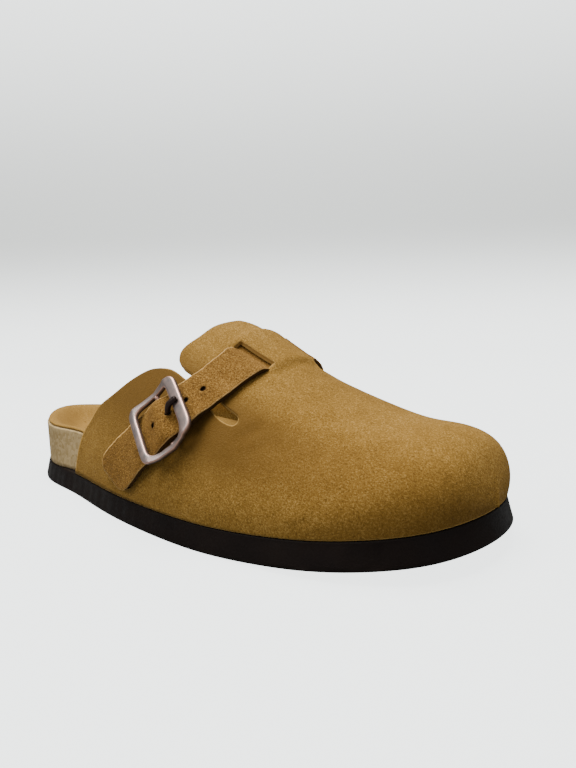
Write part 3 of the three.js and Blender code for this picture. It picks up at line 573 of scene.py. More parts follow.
@dataclass
class Crease:
    """A soft trough with a ridge on one side, drawn along a short line in shares of the last."""

    start: tuple[float, float]
    end: tuple[float, float]
    depth: float
    width: float
    ridge: float = 0.6

    def lift(self, along: Array, rise: Array) -> Array:
        """Returns the height in mm that the crease adds.

        Across the line it is minus a bell of the given width plus a wider, lower bell beside it; along
        the line it fades in and out with a sine. Distances are taken on the last in mm, about.

        Args:
            along: shares of the length.
            rise: shares of the way round: 0 outer feather, 1 crown, 2 inner feather.

        Returns:
            Heights in mm.
        """
        scale = np.array([LAST.length, LAST.ball_width])
        a = np.asarray(self.start) * scale
        line = np.asarray(self.end) * scale - a
        size = float(np.hypot(*line))
        ahead = line / size
        x = along * scale[0] - a[0]
        y = rise * scale[1] - a[1]
        run = (x * ahead[0] + y * ahead[1]) / size
        off = -x * ahead[1] + y * ahead[0]
        fade = np.sin(math.pi * np.clip(run, 0, 1)) ** 1.3
        return self.depth * fade * (self.ridge * bump(off, 1.7 * self.width, 1.2 * self.width)
                                    - bump(off, 0, self.width))


@dataclass
class UpperShell:
    """The suede upper: two quarters and a tongue that meet at a keyhole, and the closed front."""

    inset: float = 0.8
    wall: float = 1.9
    bridge_raise: float = 2.2
    bridge_from: float = 0.8125
    bridge_to: float = 1.13
    bridge_outer: float = 0.657
    bridge_inner: float = 0.664
    bridge_turn: float = 0.035
    plateau: float = 0.032
    fade: float = 0.016
    slot_width: float = 7.6
    strap_width: float = 18.368
    slot_slack: float = 0.0
    slot_skew: float = 0.03
    slot_stretch: float = 0.22
    tongue_bulge: float = 0.045
    quarter_edge: tuple = (
        (0.276, 0.0), (0.301, 0.084), (0.328, 0.16), (0.353, 0.208), (0.376, 0.265), (0.415, 0.329),
        (0.445, 0.389), (0.476, 0.457), (0.495, 0.493), (0.517, 0.517),
    )
    quarter_top: tuple = (
        (0.517, 0.517), (0.541, 0.529), (0.571, 0.521), (0.61, 0.503), (0.645, 0.48), (0.675, 0.463),
        (0.693, 0.465), (0.7, 0.474), (0.702, 0.49),
    )
    tongue_side: tuple = (
        (0.548, 0.577), (0.562, 0.556), (0.585, 0.545), (0.62, 0.536), (0.65, 0.526), (0.675, 0.519),
        (0.692, 0.515), (0.7, 0.506), (0.702, 0.49),
    )
    tongue_back: tuple = (
        (0.548, 0.577), (0.54, 0.612), (0.541, 0.66), (0.551, 0.725), (0.558, 0.838), (0.57, 0.93),
        (0.574, 1.0), (0.57, 1.07), (0.558, 1.162), (0.551, 1.275), (0.541, 1.34), (0.54, 1.388),
        (0.548, 1.423),
    )
    creases: tuple = (
        Crease((0.716, 0.40), (0.745, 0.58), 0.5, 2.6),
        Crease((0.735, 0.36), (0.762, 0.50), 0.3, 2.2),
        Crease((0.728, 0.62), (0.742, 1.30), 0.35, 4.0),
        Crease((0.765, 0.70), (0.775, 1.25), 0.25, 4.5),
        Crease((0.640, 0.045), (0.650, 0.16), 0.35, 1.6),
        Crease((0.668, 0.035), (0.680, 0.12), 0.3, 1.4),
        Crease((0.560, 0.03), (0.572, 0.12), 0.25, 2.0),
        Crease((0.82, 0.05), (0.86, 0.16), 0.2, 2.4),
        Crease((0.70, 1.45), (0.73, 1.75), 0.35, 2.6),
        Crease((0.66, 1.82), (0.68, 1.95), 0.3, 1.8),
    )

    def __post_init__(self) -> None:
        """Prepares the drawn edges and the place of the strap's slots."""
        self.edge_line = Route(self.quarter_edge)
        self.top_line = Route(self.quarter_top)
        self.side_line = Route(self.tongue_side)
        self.back_line = Route(self.tongue_back)
        self.key_along, self.key_rise = self.quarter_top[-1]
        b = (self.bridge_from - 0.52) / 0.96
        back = self.tongue(np.array(0.0), np.array(b))[0]
        front = self.tongue(np.array(1.0), np.array(b))[0]
        middle = (self.bridge_outer - back) / (front - back)
        _, ahead, up, _ = LAST.frames(np.array(self.bridge_outer), np.array(self.bridge_from), self.inset)
        half = (self.strap_width / 2 + self.slot_slack) / (np.linalg.norm(ahead) * (front - back))
        self.slot_rows = (float(middle - half), float(middle + half))
        self.slot_columns = (float(b - self.slot_width / (np.linalg.norm(up) * 0.96)), b)

    def patch(self, low: Edge, high: Edge, back: Edge, front: Edge, k: Array, b: Array) -> Array:
        """Fills between four edges: both ruled surfaces added, less the surface through the corners.

        Args:
            low: the edge at b = 0, over k.
            high: the edge at b = 1, over k.
            back: the edge at k = 0, over b.
            front: the edge at k = 1, over b.
            k: shares forwards.
            b: shares up or over, of the same shape.

        Returns:
            Pairs (along, rise).
        """
        kk, bb = k[..., None], b[..., None]
        low_0, low_1, high_0, high_1 = (e(np.array(v)) for e in (low, high) for v in (0.0, 1.0))
        return ((1 - bb) * low(k) + bb * high(k) + (1 - kk) * back(b) + kk * front(b)
                - (1 - bb) * ((1 - kk) * low_0 + kk * low_1) - bb * ((1 - kk) * high_0 + kk * high_1))

    def quarter(self, k: Array, b: Array) -> Array:
        """Returns shares of the outer quarter: k forwards from its back edge, b up from the feather.

        Args:
            k: shares forwards.
            b: shares up or over, of the same shape.

        Returns:
            Pairs (along, rise).
        """
        start = self.quarter_edge[0][0]
        return self.patch(
            lambda v: np.stack([mix(start, self.key_along, v), 0 * v], -1),
            self.top_line, self.edge_line,
            lambda v: np.stack([0 * v + self.key_along, v * self.key_rise], -1), k, b)

    def tongue(self, k: Array, b: Array) -> Array:
        """Returns shares of the tongue: k forwards from its back edge, b over from the outer side.

        Args:
            k: shares forwards.
            b: shares up or over, of the same shape.

        Returns:
            Pairs (along, rise).
        """
        def mirrored(v: Array) -> Array:
            """Returns the tongue's inner edge, the outer one turned over the crown."""
            return self.side_line(v) * np.array([1.0, -1.0]) + np.array([0.0, 2.0])

        def front(v: Array) -> Array:
            """Returns the line where the tongue meets the front, bowed forwards by a sine."""
            along = self.key_along + self.tongue_bulge * np.sin(math.pi * v)
            return np.stack([along, mix(self.key_rise, 2 - self.key_rise, v)], -1)

        return self.patch(self.side_line, mirrored, self.back_line, front, k, b)

    def bridge(self, along: Array, rise: Array) -> Array:
        """Returns how far the leather stands up where the strap runs below it: a plateau with soft sides.

        Args:
            along: shares of the length.
            rise: shares of the way round: 0 outer feather, 1 crown, 2 inner feather.

        Returns:
            Heights in mm.
        """
        middle = mix(self.bridge_outer, self.bridge_inner,
                     (rise - self.bridge_from) / (self.bridge_to - self.bridge_from))
        off = along - middle
        lengthwise = 1 - smooth((np.abs(off) - self.plateau) / self.fade)
        start = self.bridge_from + self.bridge_turn * off / (2 * self.plateau)
        across = smooth((rise - start + 0.05) / 0.05) * smooth((self.bridge_to + 0.05 - rise) / 0.05)
        return self.bridge_raise * lengthwise * across

    def relief(self, along: Array, rise: Array) -> Array:
        """Returns the height of all creases and of a slow unevenness, a sum of three sines.

        It ends just before the toe's tip, so that the two sides meet there.

        Args:
            along: shares of the length.
            rise: shares of the way round: 0 outer feather, 1 crown, 2 inner feather.

        Returns:
            Heights in mm.
        """
        total = sum(crease.lift(along, rise) for crease in self.creases)
        wave = (np.sin(31 * along + 4 * rise) * np.sin(9 * rise - 7 * along)
                + 0.5 * np.sin(53 * along - 13 * rise + 1.3))
        away = smooth(np.minimum(rise, 2 - rise) / 0.12)
        return (total + 0.11 * wave * away) * smooth((1 - along) / 0.004)

    def slanted(self, k: Array, b: Array) -> tuple[Array, Array]:
        """Moves the tongue's shares so that both slots follow the strap.

        The inner slot is shifted forwards, stretched lengthwise and moved nearer to the crown. The rows
        of the outer one are turned: they move over by a share that grows from its back end to its front.

        Args:
            k: shares forwards.
            b: shares up or over, of the same shape.

        Returns:
            The moved shares.
        """
        low, high = self.slot_rows
        c_low, c_high = self.slot_columns
        shift = self.slot_skew + self.slot_stretch * (k - (low + high) / 2)
        ends = smooth(np.minimum(k / 0.34, (1 - k) / 0.2))
        share = np.clip((k - low) / (high - low), 0, 1) - 0.5
        lengthwise = smooth(k / low) * smooth((1 - k) / (1 - high))
        across = smooth(b / c_low) * smooth((0.5 - b) / (0.5 - c_high))
        inner = smooth((b - 0.5) / (0.5 - c_high)) * smooth((1 - b) / c_low)
        back = (1 - c_high - (self.bridge_to - 0.52) / 0.96) * inner
        return (k + shift * ends * smooth((b - c_high) / (1 - 2 * c_high)),
                b + lengthwise * (self.bridge_turn / 0.96 * share * across - back))

    def faces(self, shares: Array) -> tuple[Array, Array]:
        """Returns the points of the outer and the inner face at a grid of shares.

        Args:
            shares: pairs (along, rise).

        Returns:
            Two grids of points.
        """
        along, rise = shares[..., 0], shares[..., 1]
        normal = LAST.frames(along, rise, self.inset)[3]
        raised = (self.bridge(along, rise) + self.relief(along, rise))[..., None] * normal
        deep = self.inset + self.wall
        return LAST.surface(along, rise, self.inset) + raised, LAST.surface(along, rise, deep) + raised

    def build(self) -> bpy.types.Object:
        """Builds the upper from six patches, with the slots left out of the tongue.

        Returns:
            The new object.
        """
        sheet = Sheet("upper_suede", bulge=0.4)
        low, high = self.slot_rows
        k = stretches((0, low, 34), (low, high, 25), (high, 1, 13))
        c_low, c_high = self.slot_columns
        half = stretches((0, c_low, 17), (c_low, c_high, 8), (c_high, 0.5, 17))
        b = np.concatenate([half, 1 - half[-2::-1]])
        quarter = self.quarter(*np.meshgrid(k, np.linspace(0, 1, 41), indexing="ij"))
        kk, bb = np.meshgrid(k, b, indexing="ij")
        tongue = self.tongue(*self.slanted(kk, bb))
        inner = (quarter * np.array([1.0, -1.0]) + np.array([0.0, 2.0]))[:, ::-1]
        row = (kk[:-1, :-1] > low - 1e-9) & (kk[:-1, :-1] < high - 1e-9)
        start = bb[:-1, :-1]
        opened = ((start > c_low - 1e-9) & (start < c_high - 1e-9)) | (
            (start > 1 - c_high - 1e-9) & (start < 1 - c_low - 1e-9))
        for grid, shut in ((quarter, None), (tongue, ~(row & opened)), (inner, None)):
            sheet.add(*self.faces(grid), grid, shut)
            first = grid[-1]
            turn = mix(angle_at(first[:, 0]), math.pi, np.linspace(0, 1, 101)[:, None])
            turn[-1] = math.pi
            front = np.stack([along_at(turn), np.broadcast_to(first[:, 1], turn.shape)], -1)
            sheet.add(*self.faces(front), front)
        return sheet.build()


@dataclass
class StrapPath:
    """The strap's way over the upper, and the heights of what lies on it."""

    shell: UpperShell
    width: float = 22.4
    narrowing: float = 0.82
    thickness: float = 2.0
    pin: float = 2.0
    prong: float = 1.5
    tab: float = 0.9
    dip: float = 4.4
    frame: float = 2.2
    buckle_rise: float = 0.341
    sag: float = 2.0
    table: tuple = (
        (0.45, 0.035), (0.477, 0.085), (0.506, 0.14), (0.552, 0.226), (0.585, 0.303), (0.607, 0.378),
        (0.621, 0.446), (0.635, 0.531), (0.648, 0.65), (0.657, 0.8), (0.663, 1.0), (0.663, 1.13),
        (0.656, 1.25), (0.641, 1.4), (0.614, 1.6), (0.586, 1.75),
    )

    def __post_init__(self) -> None:
        """Works out the heights, the lift of the underside and the distance along the middle line."""
        gap = LAST.clearance
        self.pin_height = 2 * gap + self.tab + self.pin / 2
        self.bar_height = self.pin_height + self.dip
        self.over_pin = self.pin_height + self.pin / 2 + self.prong + 2 * gap
        under_bar = self.bar_height - self.frame / 2 - self.thickness - 3.5 * gap
        under_bridge = self.shell.bridge_raise - self.shell.wall - self.thickness - 2.5 * gap
        self.lifts = np.array([
            (0.0, 0.6), (0.06, 0.6), (0.15, 1.0), (0.226, under_bar), (0.256, under_bar),
            (self.buckle_rise, self.over_pin), (0.4, under_bar), (0.44, under_bar), (0.5, 1.4),
            (0.6, 2 * gap), (0.73, 2 * gap), (self.shell.bridge_from - 0.007, under_bridge),
            (self.shell.bridge_to + 0.004, under_bridge), (self.shell.bridge_to + 0.07, 2 * gap),
            (1.8, gap), (2.0, gap),
        ])
        self.line = Route(self.table)
        self.k = np.linspace(0, 1, 301)
        self.rise = self.line(self.k)[:, 1]
        points = LAST.surface(*self.line(self.k).T, self.shell.inset)
        self.distance = np.concatenate([[0], np.cumsum(np.linalg.norm(np.diff(points, axis=0), axis=1))])
        self.total = float(self.distance[-1])
        self.buckle = float(self.distance[np.argmax(self.rise >= self.buckle_rise)])
        self.slot = float(self.distance[np.argmax(self.rise >= self.shell.bridge_from)])

    def width_at(self, distance: Array) -> Array:
        """Returns the strap's width: it narrows evenly from the free end to the outer slot."""
        return self.width * mix(1, self.narrowing, np.minimum(1, distance / self.slot))

    def lift(self, rise: Array) -> Array:
        """Returns the height of the strap's underside over the upper, with S-curves between the knots.

        Args:
            rise: shares of the way round, on the strap's middle line.

        Returns:
            Heights in mm.
        """
        i = np.clip(np.searchsorted(self.lifts[:, 0], rise) - 1, 0, len(self.lifts) - 2)
        a, b = self.lifts[i], self.lifts[i + 1]
        return mix(a[..., 1], b[..., 1], smooth((rise - a[..., 0]) / (b[..., 0] - a[..., 0])))

    def places(self, distance: Array) -> Four:
        """Returns shares, points, directions ahead and directions across at distances from the free end.

        Args:
            distance: distances from the free end.

        Returns:
            Pairs (along, rise), points, directions ahead and directions across.
        """
        k = np.interp(distance, self.distance, self.k)
        step = 1 / 300
        shares = self.line(k)
        after, before = (
            LAST.surface(*np.moveaxis(self.line(np.clip(place, 0, 1)), -1, 0), self.shell.inset)
            for place in (k + step, k - step)
        )
        here, _, _, normal = LAST.frames(shares[..., 0], shares[..., 1], self.shell.inset)
        ahead = norm(after - before)
        return shares, here, ahead, norm(np.cross(normal, ahead))

    def surface(self, distance: Array, way: Array, height: Array | float) -> Array:
        """Returns points of the strap.

        A step across is turned into steps of along and rise by solving the two by two system of the
        last's tangents; the point then stands off the last by the lift and the height.

        Args:
            distance: distances from the free end.
            way: ways across from the middle line.
            height: height over the strap's underside.

        Returns:
            The points; the underside sags at both edges over the pin.
        """
        shares, _, _, across = self.places(distance)
        along, rise = shares[..., 0], shares[..., 1]
        _, ahead_step, up_step, _ = LAST.frames(along, rise, self.shell.inset)
        aa = (ahead_step * ahead_step).sum(-1)
        ar = (ahead_step * up_step).sum(-1)
        rr = (up_step * up_step).sum(-1)
        va = (across * ahead_step).sum(-1) * way
        vr = (across * up_step).sum(-1) * way
        det = aa * rr - ar * ar
        side_rise = rise + (vr * aa - va * ar) / det
        side_along = along + (va * rr - vr * ar) / det
        point, _, _, normal = LAST.frames(side_along, side_rise, self.shell.inset)
        own = smooth((rise - 0.55) / 0.1)
        turn = self.shell.bridge_turn * way * smooth((1 - rise) / 0.15) / self.width_at(distance)
        sag = self.sag * (way / self.width * 2) ** 4 * np.exp(-((rise - self.buckle_rise) / 0.05) ** 2)
        off = self.lift(mix(rise, side_rise + turn, own)) + height - sag
        return point + normal * off[..., None]

    def buckle_matrix(self) -> Array:
        """Returns the buckle plane as a 4 by 4 matrix: p ahead along the strap, q across, h off the foot.

        Returns:
            The matrix.
        """
        _, here, ahead, across = (v[0] for v in self.places(np.array([self.buckle])))
        shares = self.line(np.interp(self.buckle, self.distance, self.k))
        normal = LAST.frames(shares[0], shares[1], self.shell.inset)[3]
        matrix = np.eye(4)
        matrix[:3, 0], matrix[:3, 1], matrix[:3, 2], matrix[:3, 3] = ahead, across, normal, here
        return matrix


@dataclass
class StrapBelt:
    """The strap itself: a thick suede strip with round holes and a slanted, round-cornered free end."""

    path: StrapPath
    hole: float = 2.0
    pitch: float = 7.5
    prong_hole: float = 3.3
    slot_fill: float = 1.2
    slant: float = 11.0
    corner: float = 6.0
    orders: tuple = (-1, 0, 1, 2)
    hole_blend: float = 1.6
    hole_floor: tuple = (0.9, 0.4)
    floor_share: float = 1.15
    slot_reach: float = 9.0
    core: float = 1.5
    step: float = 0.8
    end_zone: float = 30.0

    def reach(self, way: Array) -> Array:
        """Returns how far back the free end lies at a way across: a slant, and a circle at each corner.

        Args:
            way: ways across from the middle line.

        Returns:
            Distances in mm.
        """
        half = self.path.width / 2
        corner = np.maximum(0, np.abs(way) - (half - self.corner))
        return self.slant * (0.5 - way / self.path.width) + self.corner - np.sqrt(
            np.maximum(0, self.corner**2 - corner**2))

    def holes(self) -> list[float]:
        """Returns the holes' distances from the free end."""
        return [self.path.buckle + self.prong_hole + order * self.pitch for order in self.orders]

    def grid(self) -> tuple[Array, Array, Array]:
        """Lays out a grid whose lines are bent round each hole.

        Near a hole a point at square distance s from the middle moves to a circle of that size times
        hole radius over half the square; the move fades out over two more squares.

        Returns:
            Distances from the free end, ways across, and the cells where the strap is whole.
        """
        square = self.hole / 2
        ends = [[middle - square, middle + square] for middle in self.holes()]
        marks = np.sort(np.concatenate([[0.0, self.path.total], *ends]))
        counts = np.maximum(2, np.ceil(np.diff(marks) / self.step).astype(int) + 1)
        lines = stretches(*zip(marks[:-1], marks[1:], counts)).round(6)
        side = np.linspace(square, self.path.width / 2, 14)
        ways = np.concatenate([-side[::-1], np.linspace(-square, square, 5)[1:-1], side])
        distance, way = np.meshgrid(lines, ways, indexing="ij")
        whole = np.ones((len(lines) - 1, len(ways) - 1), bool)
        for middle in self.holes():
            u, v = distance - middle, way
            s = np.maximum(np.abs(u), np.abs(v))
            blend = 1 - smooth((s - square) / (self.hole_blend * square))
            scale = mix(1.0, s / np.maximum(np.hypot(u, v), 1e-9), blend)
            cell_u = np.abs((lines[:-1] + lines[1:]) / 2 - middle)
            cell_v = np.abs((ways[:-1] + ways[1:]) / 2)
            whole &= np.maximum(cell_u[:, None], cell_v[None]) >= square
            distance, way = middle + u * scale, v * scale
        return distance, way, whole

    def build(self) -> bpy.types.Object:
        """Builds the strip: tapered, with its free end cut slanted, and with a slightly uneven edge.

        Returns:
            The new object. Its share_2 is the distance to the nearest hole, in mm.
        """
        half = self.path.width / 2
        distance, way, whole = self.grid()
        to_holes = [np.hypot(distance - middle, way) for middle in self.holes()]
        hole_mm = np.min(to_holes, axis=0) - self.hole / 2
        width = self.path.width_at(distance) / self.path.width
        width = width + self.slot_fill / half * bump(distance, self.path.slot, self.slot_reach)
        way = way * mix(1, width, smooth((np.abs(way) - self.core) / (half - self.core)))
        start = distance + self.reach(np.clip(way, -half, half)) * np.maximum(0, 1 - distance / self.end_zone)
        ripple = 0.12 * np.sin(start * 0.55 + way * 0.2) + 0.08 * np.sin(start * 1.7 - way * 0.6)
        edge = 1 - smooth((half * width - np.abs(way)) / 2.0)
        way = way + np.sign(way) * edge * ripple * 0.6
        low = self.path.surface(start, way, 0.0 * start)
        high = self.path.surface(start, way, self.path.thickness + ripple * 0.4)
        sheet = Sheet("strap_suede", bulge=0.25)
        sheet.add(high, low, np.stack([start / self.path.total, way / half, hole_mm], -1), whole)
        self.add_painted_shade_floors(sheet)
        return sheet.build()

    def add_painted_shade_floors(self, sheet: Sheet) -> None:
        """Closes every hole but the prong's with a small disc halfway down, so that no light shows through;
        the disc takes the dark side colour, as painted shade in the hole.

        Args:
            sheet: the strap's sheet.
        """
        u, v = np.meshgrid(np.linspace(-1, 1, 5), np.linspace(-1, 1, 5), indexing="ij")
        size = self.floor_share * self.hole / 2
        disc = size * np.maximum(np.abs(u), np.abs(v)) / np.maximum(np.hypot(u, v), 1e-9)
        for middle in (place for place, order in zip(self.holes(), self.orders) if order):
            faces = (self.path.surface(middle + u * disc, v * disc, h + 0 * u) for h in self.hole_floor)
            sheet.add(*faces, np.stack([0 * u + middle / self.path.total, 0 * u, 0 * u], -1))


@dataclass
class Footbed:
    """The cork footbed with its cupped, suede-covered top."""

    heel_inset: float = 2.5
    inset: float = 4.9
    lean: float = 0.13
    lean_from: float = 0.17
    lean_over: float = 0.1
    rim_height: float = 21.5
    seat_height: float = 12.0
    rim_width: float = 2.6
    cup_reach: float = 14.0
    rim_round: float = 0.8
    lining: float = 1.2
    edge_bulge: float = 0.3
    stations: int = 260
    # share of the length, outer rim, inner rim and seat as shares of the heel rim's height
    table: tuple = (
        (0.0, 1.0, 1.0, 0.56), (0.12, 1.0, 0.98, 0.52), (0.25, 0.93, 1.02, 0.54), (0.4, 0.74, 1.0, 0.58),
        (0.52, 0.58, 0.78, 0.48), (0.66, 0.45, 0.5, 0.34), (0.82, 0.42, 0.44, 0.3), (1.0, 0.42, 0.42, 0.3),
    )

    def __post_init__(self) -> None:
        """Turns the table into splines."""
        self.rims = {Side.OUTER: column(self.table, 1), Side.INNER: column(self.table, 2)}
        self.seat = column(self.table, 3)
        self.angles = np.linspace(0, math.pi, self.stations + 1)

    def rim(self, angle: Array, side: Side) -> Array:
        """Returns the rim's height over the outsole."""
        return self.rims[side](angle) * self.rim_height

    def top(self, angle: Array, side: Side, distance: Array) -> Array:
        """Returns the height of the top: the rim's, with an S-curve down to the seat's across the cup."""
        seat = self.seat(angle) / self.table[0][3] * self.seat_height
        return mix(self.rim(angle, side), seat, smooth((distance - self.rim_width) / self.cup_reach))

    def leaning(self, angle: Array) -> Array:
        """Returns a share that grows from 0 at the open heel to 1 below the upper."""
        return smooth((along_at(angle) - self.lean_from) / self.lean_over)

    def foot_inset(self, angle: Array) -> Array:
        """Returns how far the side wall's foot stands in from the outline."""
        return mix(self.heel_inset, self.inset, self.leaning(angle))

    def rim_inset(self, angle: Array, side: Side) -> Array:
        """Returns how far the rim's top leans in from the outline."""
        return self.foot_inset(angle) + self.lean * self.leaning(angle) * self.rim(angle, side)

    def point(self, angle: Array, side: Side, inset: Array, height: Array) -> Array:
        """Returns points over the outsole's top, inset from the outline."""
        x, y, _, _ = LAST.edge(angle, side.value, inset)
        return np.stack([x, y, LAST.underside(along_at(angle)) + LAST.sole + LAST.clearance + height], -1)

    def row(self, start: float, lift: float) -> Array:
        """Returns rows of points over the top from the inner rim to the outer one.

        Args:
            start: distance in from the rim's top at which the rows start.
            lift: height over the top.

        Returns:
            A grid of points.
        """
        reach = np.concatenate([np.linspace(start, self.rim_width, 4)[:-1],
                                self.rim_width + self.cup_reach * np.linspace(0, 1, 16)])
        angle, distance = np.meshgrid(self.angles, reach, indexing="ij")
        inner, outer = (
            self.point(angle, s, self.rim_inset(angle, s) + distance, self.top(angle, s, distance) + lift)
            for s in (Side.INNER, Side.OUTER)
        )
        share = np.linspace(0, 1, 22)[1:-1, None]
        middle = mix(inner[:, -1:, :], outer[:, -1:, :], share[None])
        return np.concatenate([inner, middle, outer[:, ::-1]], 1)

    def wall_rows(self, side: Side) -> Array:
        """Returns rows of points up the side wall: straight up to a quarter circle at the rim.

        Args:
            side: the side of the shoe.

        Returns:
            A grid of points.
        """
        angle = self.angles[:, None]
        height = self.rim(angle, side) - self.rim_round
        share = np.linspace(0, 1, 11)[None]
        inset = mix(self.foot_inset(angle), self.rim_inset(angle, side), share)
        wall = self.point(np.broadcast_to(angle, inset.shape), side, inset, height * share)
        turn = np.linspace(0, math.pi / 2, 5)[None, 1:-1]
        round_inset = self.rim_inset(angle, side) + self.rim_round * (1 - np.cos(turn))
        corner = self.point(np.broadcast_to(angle, round_inset.shape), side, round_inset,
                            height + self.rim_round * np.sin(turn))
        return np.concatenate([wall, corner], 1)

    def closed(self, name: str, rings: Array, layers: Layers) -> bpy.types.Object:
        """Makes an object from rings that shrink to a line at the heel and at the toe."""
        points, faces, layers = merged(rings.reshape(-1, 3), skin(rings), layers)
        return mesh_object(name, points, outward(points, faces), layers)

    def build_cork(self) -> bpy.types.Object:
        """Builds the cork body: bottom, side walls, rounded rims and top.

        Returns:
            The new object.
        """
        top = self.row(self.rim_round, 0.0)
        rings = np.concatenate([self.wall_rows(Side.INNER), top, self.wall_rows(Side.OUTER)[:, ::-1]], 1)
        base = LAST.underside(along_at(self.angles))[:, None] + LAST.sole + LAST.clearance
        height = rings[..., 2] - base
        rim = np.maximum(self.rim(self.angles, Side.INNER), self.rim(self.angles, Side.OUTER))[:, None]
        return self.closed("cork_footbed", rings, {"height_share": (height / rim).ravel()})

    def build_lining(self) -> bpy.types.Object:
        """Builds the suede cover of the footbed as a thin closed layer with rounded edges.

        Returns:
            The new object.
        """
        start = self.rim_round + LAST.clearance
        top = self.row(start, LAST.clearance + self.lining)
        low = self.row(start, LAST.clearance)
        first, last = (
            (top[:, i] + low[:, i]) / 2 + norm(top[:, i] - top[:, i + s]) * self.edge_bulge
            for i, s in ((0, 1), (-1, -1))
        )
        rings = np.concatenate([top, last[:, None], low[:, ::-1], first[:, None]], 1)
        return self.closed("footbed_lining", rings, {})


@dataclass
class Outsole:
    """The foam outsole: widest at its foot, lifted at both ends, with a fine zigzag tread below."""

    flare: float = 2.0
    edge_round: float = 0.7
    tread_depth: float = 0.9
    tread_width: float = 2.4
    tread_pitch: float = 11.0
    zigzag: float = 2.2
    zigzag_pitch: float = 9.0
    stations: int = 520

    def profile(self) -> tuple[Array, Array]:
        """Returns insets and heights up the side: a rounded foot, a slope inwards and a rounded top edge.

        Returns:
            Insets and heights in mm.
        """
        sole, r = LAST.sole, self.edge_round
        low_turn = np.linspace(0, math.pi / 2, 5)[:-1]
        wall = np.linspace(r, sole - r, 9)
        turn = np.linspace(0, math.pi / 2, 6)[1:]
        inset = np.concatenate([r * 0.5 * (1 - np.sin(low_turn)), self.flare * (wall - r) / (sole - 2 * r),
                                self.flare + r * (1 - np.cos(turn))])
        height = np.concatenate([r * (1 - np.cos(low_turn)), wall, sole - r + r * np.sin(turn)])
        return inset, height

    def groove(self, x: Array, y: Array) -> Array:
        """Returns the tread's depth: straight grooves across, bent to a zigzag away from the very edge.

        Args:
            x: places along the shoe.
            y: places across it.

        Returns:
            Depths in mm.
        """
        fold = np.abs(((y / self.zigzag_pitch) % 1.0) - 0.5) * 4 - 1
        place = (x + LAST.length / 2 + self.zigzag * fold) / self.tread_pitch
        off = np.abs(place - np.round(place)) * self.tread_pitch
        ends = smooth((x + LAST.length / 2 - 6) / 3) * smooth((LAST.length / 2 - 4 - x) / 3)
        return self.tread_depth * smooth((self.tread_width / 2 + 0.3 - off) / 0.7) * ends

    def build(self) -> bpy.types.Object:
        """Builds rings round the sole: bottom with tread, side, rounded edge and top.

        Returns:
            The new object.
        """
        angle = np.linspace(0, math.pi, self.stations + 1)[:, None]
        inset, height = self.profile()
        halves = []
        for side in (Side.INNER, Side.OUTER):
            x, y, _, _ = LAST.edge(np.broadcast_to(angle, (len(angle), len(inset))), side.value, inset[None])
            halves.append(np.stack([x, y, LAST.underside(along_at(angle)) + height[None]], -1))
        inner, outer = halves
        share = np.linspace(0, 1, 92)[1:-1, None]
        top = mix(inner[:, -1:, :], outer[:, -1:, :], np.linspace(0, 1, 12)[None, 1:-1, None])
        bottom = mix(outer[:, :1, :], inner[:, :1, :], share[None])
        rings = np.concatenate([inner, top, outer[:, ::-1], bottom], 1)
        low = np.broadcast_to(LAST.underside(along_at(angle)), rings.shape[:2])
        over = rings[..., 2] - low
        wall = np.zeros(rings.shape[1], bool)
        wall[:len(inset)] = True
        wall[len(inset) + 10:2 * len(inset) + 10] = True
        from_edge = np.zeros(rings.shape[1])
        from_edge[-share.size:] = np.minimum(share[:, 0], 1 - share[:, 0])
        cut = self.groove(rings[..., 0], rings[..., 1]) * smooth((from_edge - 0.02) / 0.03)
        rings[..., 2] += cut
        wavy = 0.10 * np.sin(rings[..., 0] * 0.31) + 0.06 * np.sin(rings[..., 0] * 0.83 + 1.0)
        rings[..., 1] += np.where(wall & (over > 0.5) & (over < 8), np.sign(rings[..., 1]) * wavy, 0)
        points, faces, _ = merged(rings.reshape(-1, 3), skin(rings), {})
        return mesh_object("outsole_foam", points, outward(points, faces))


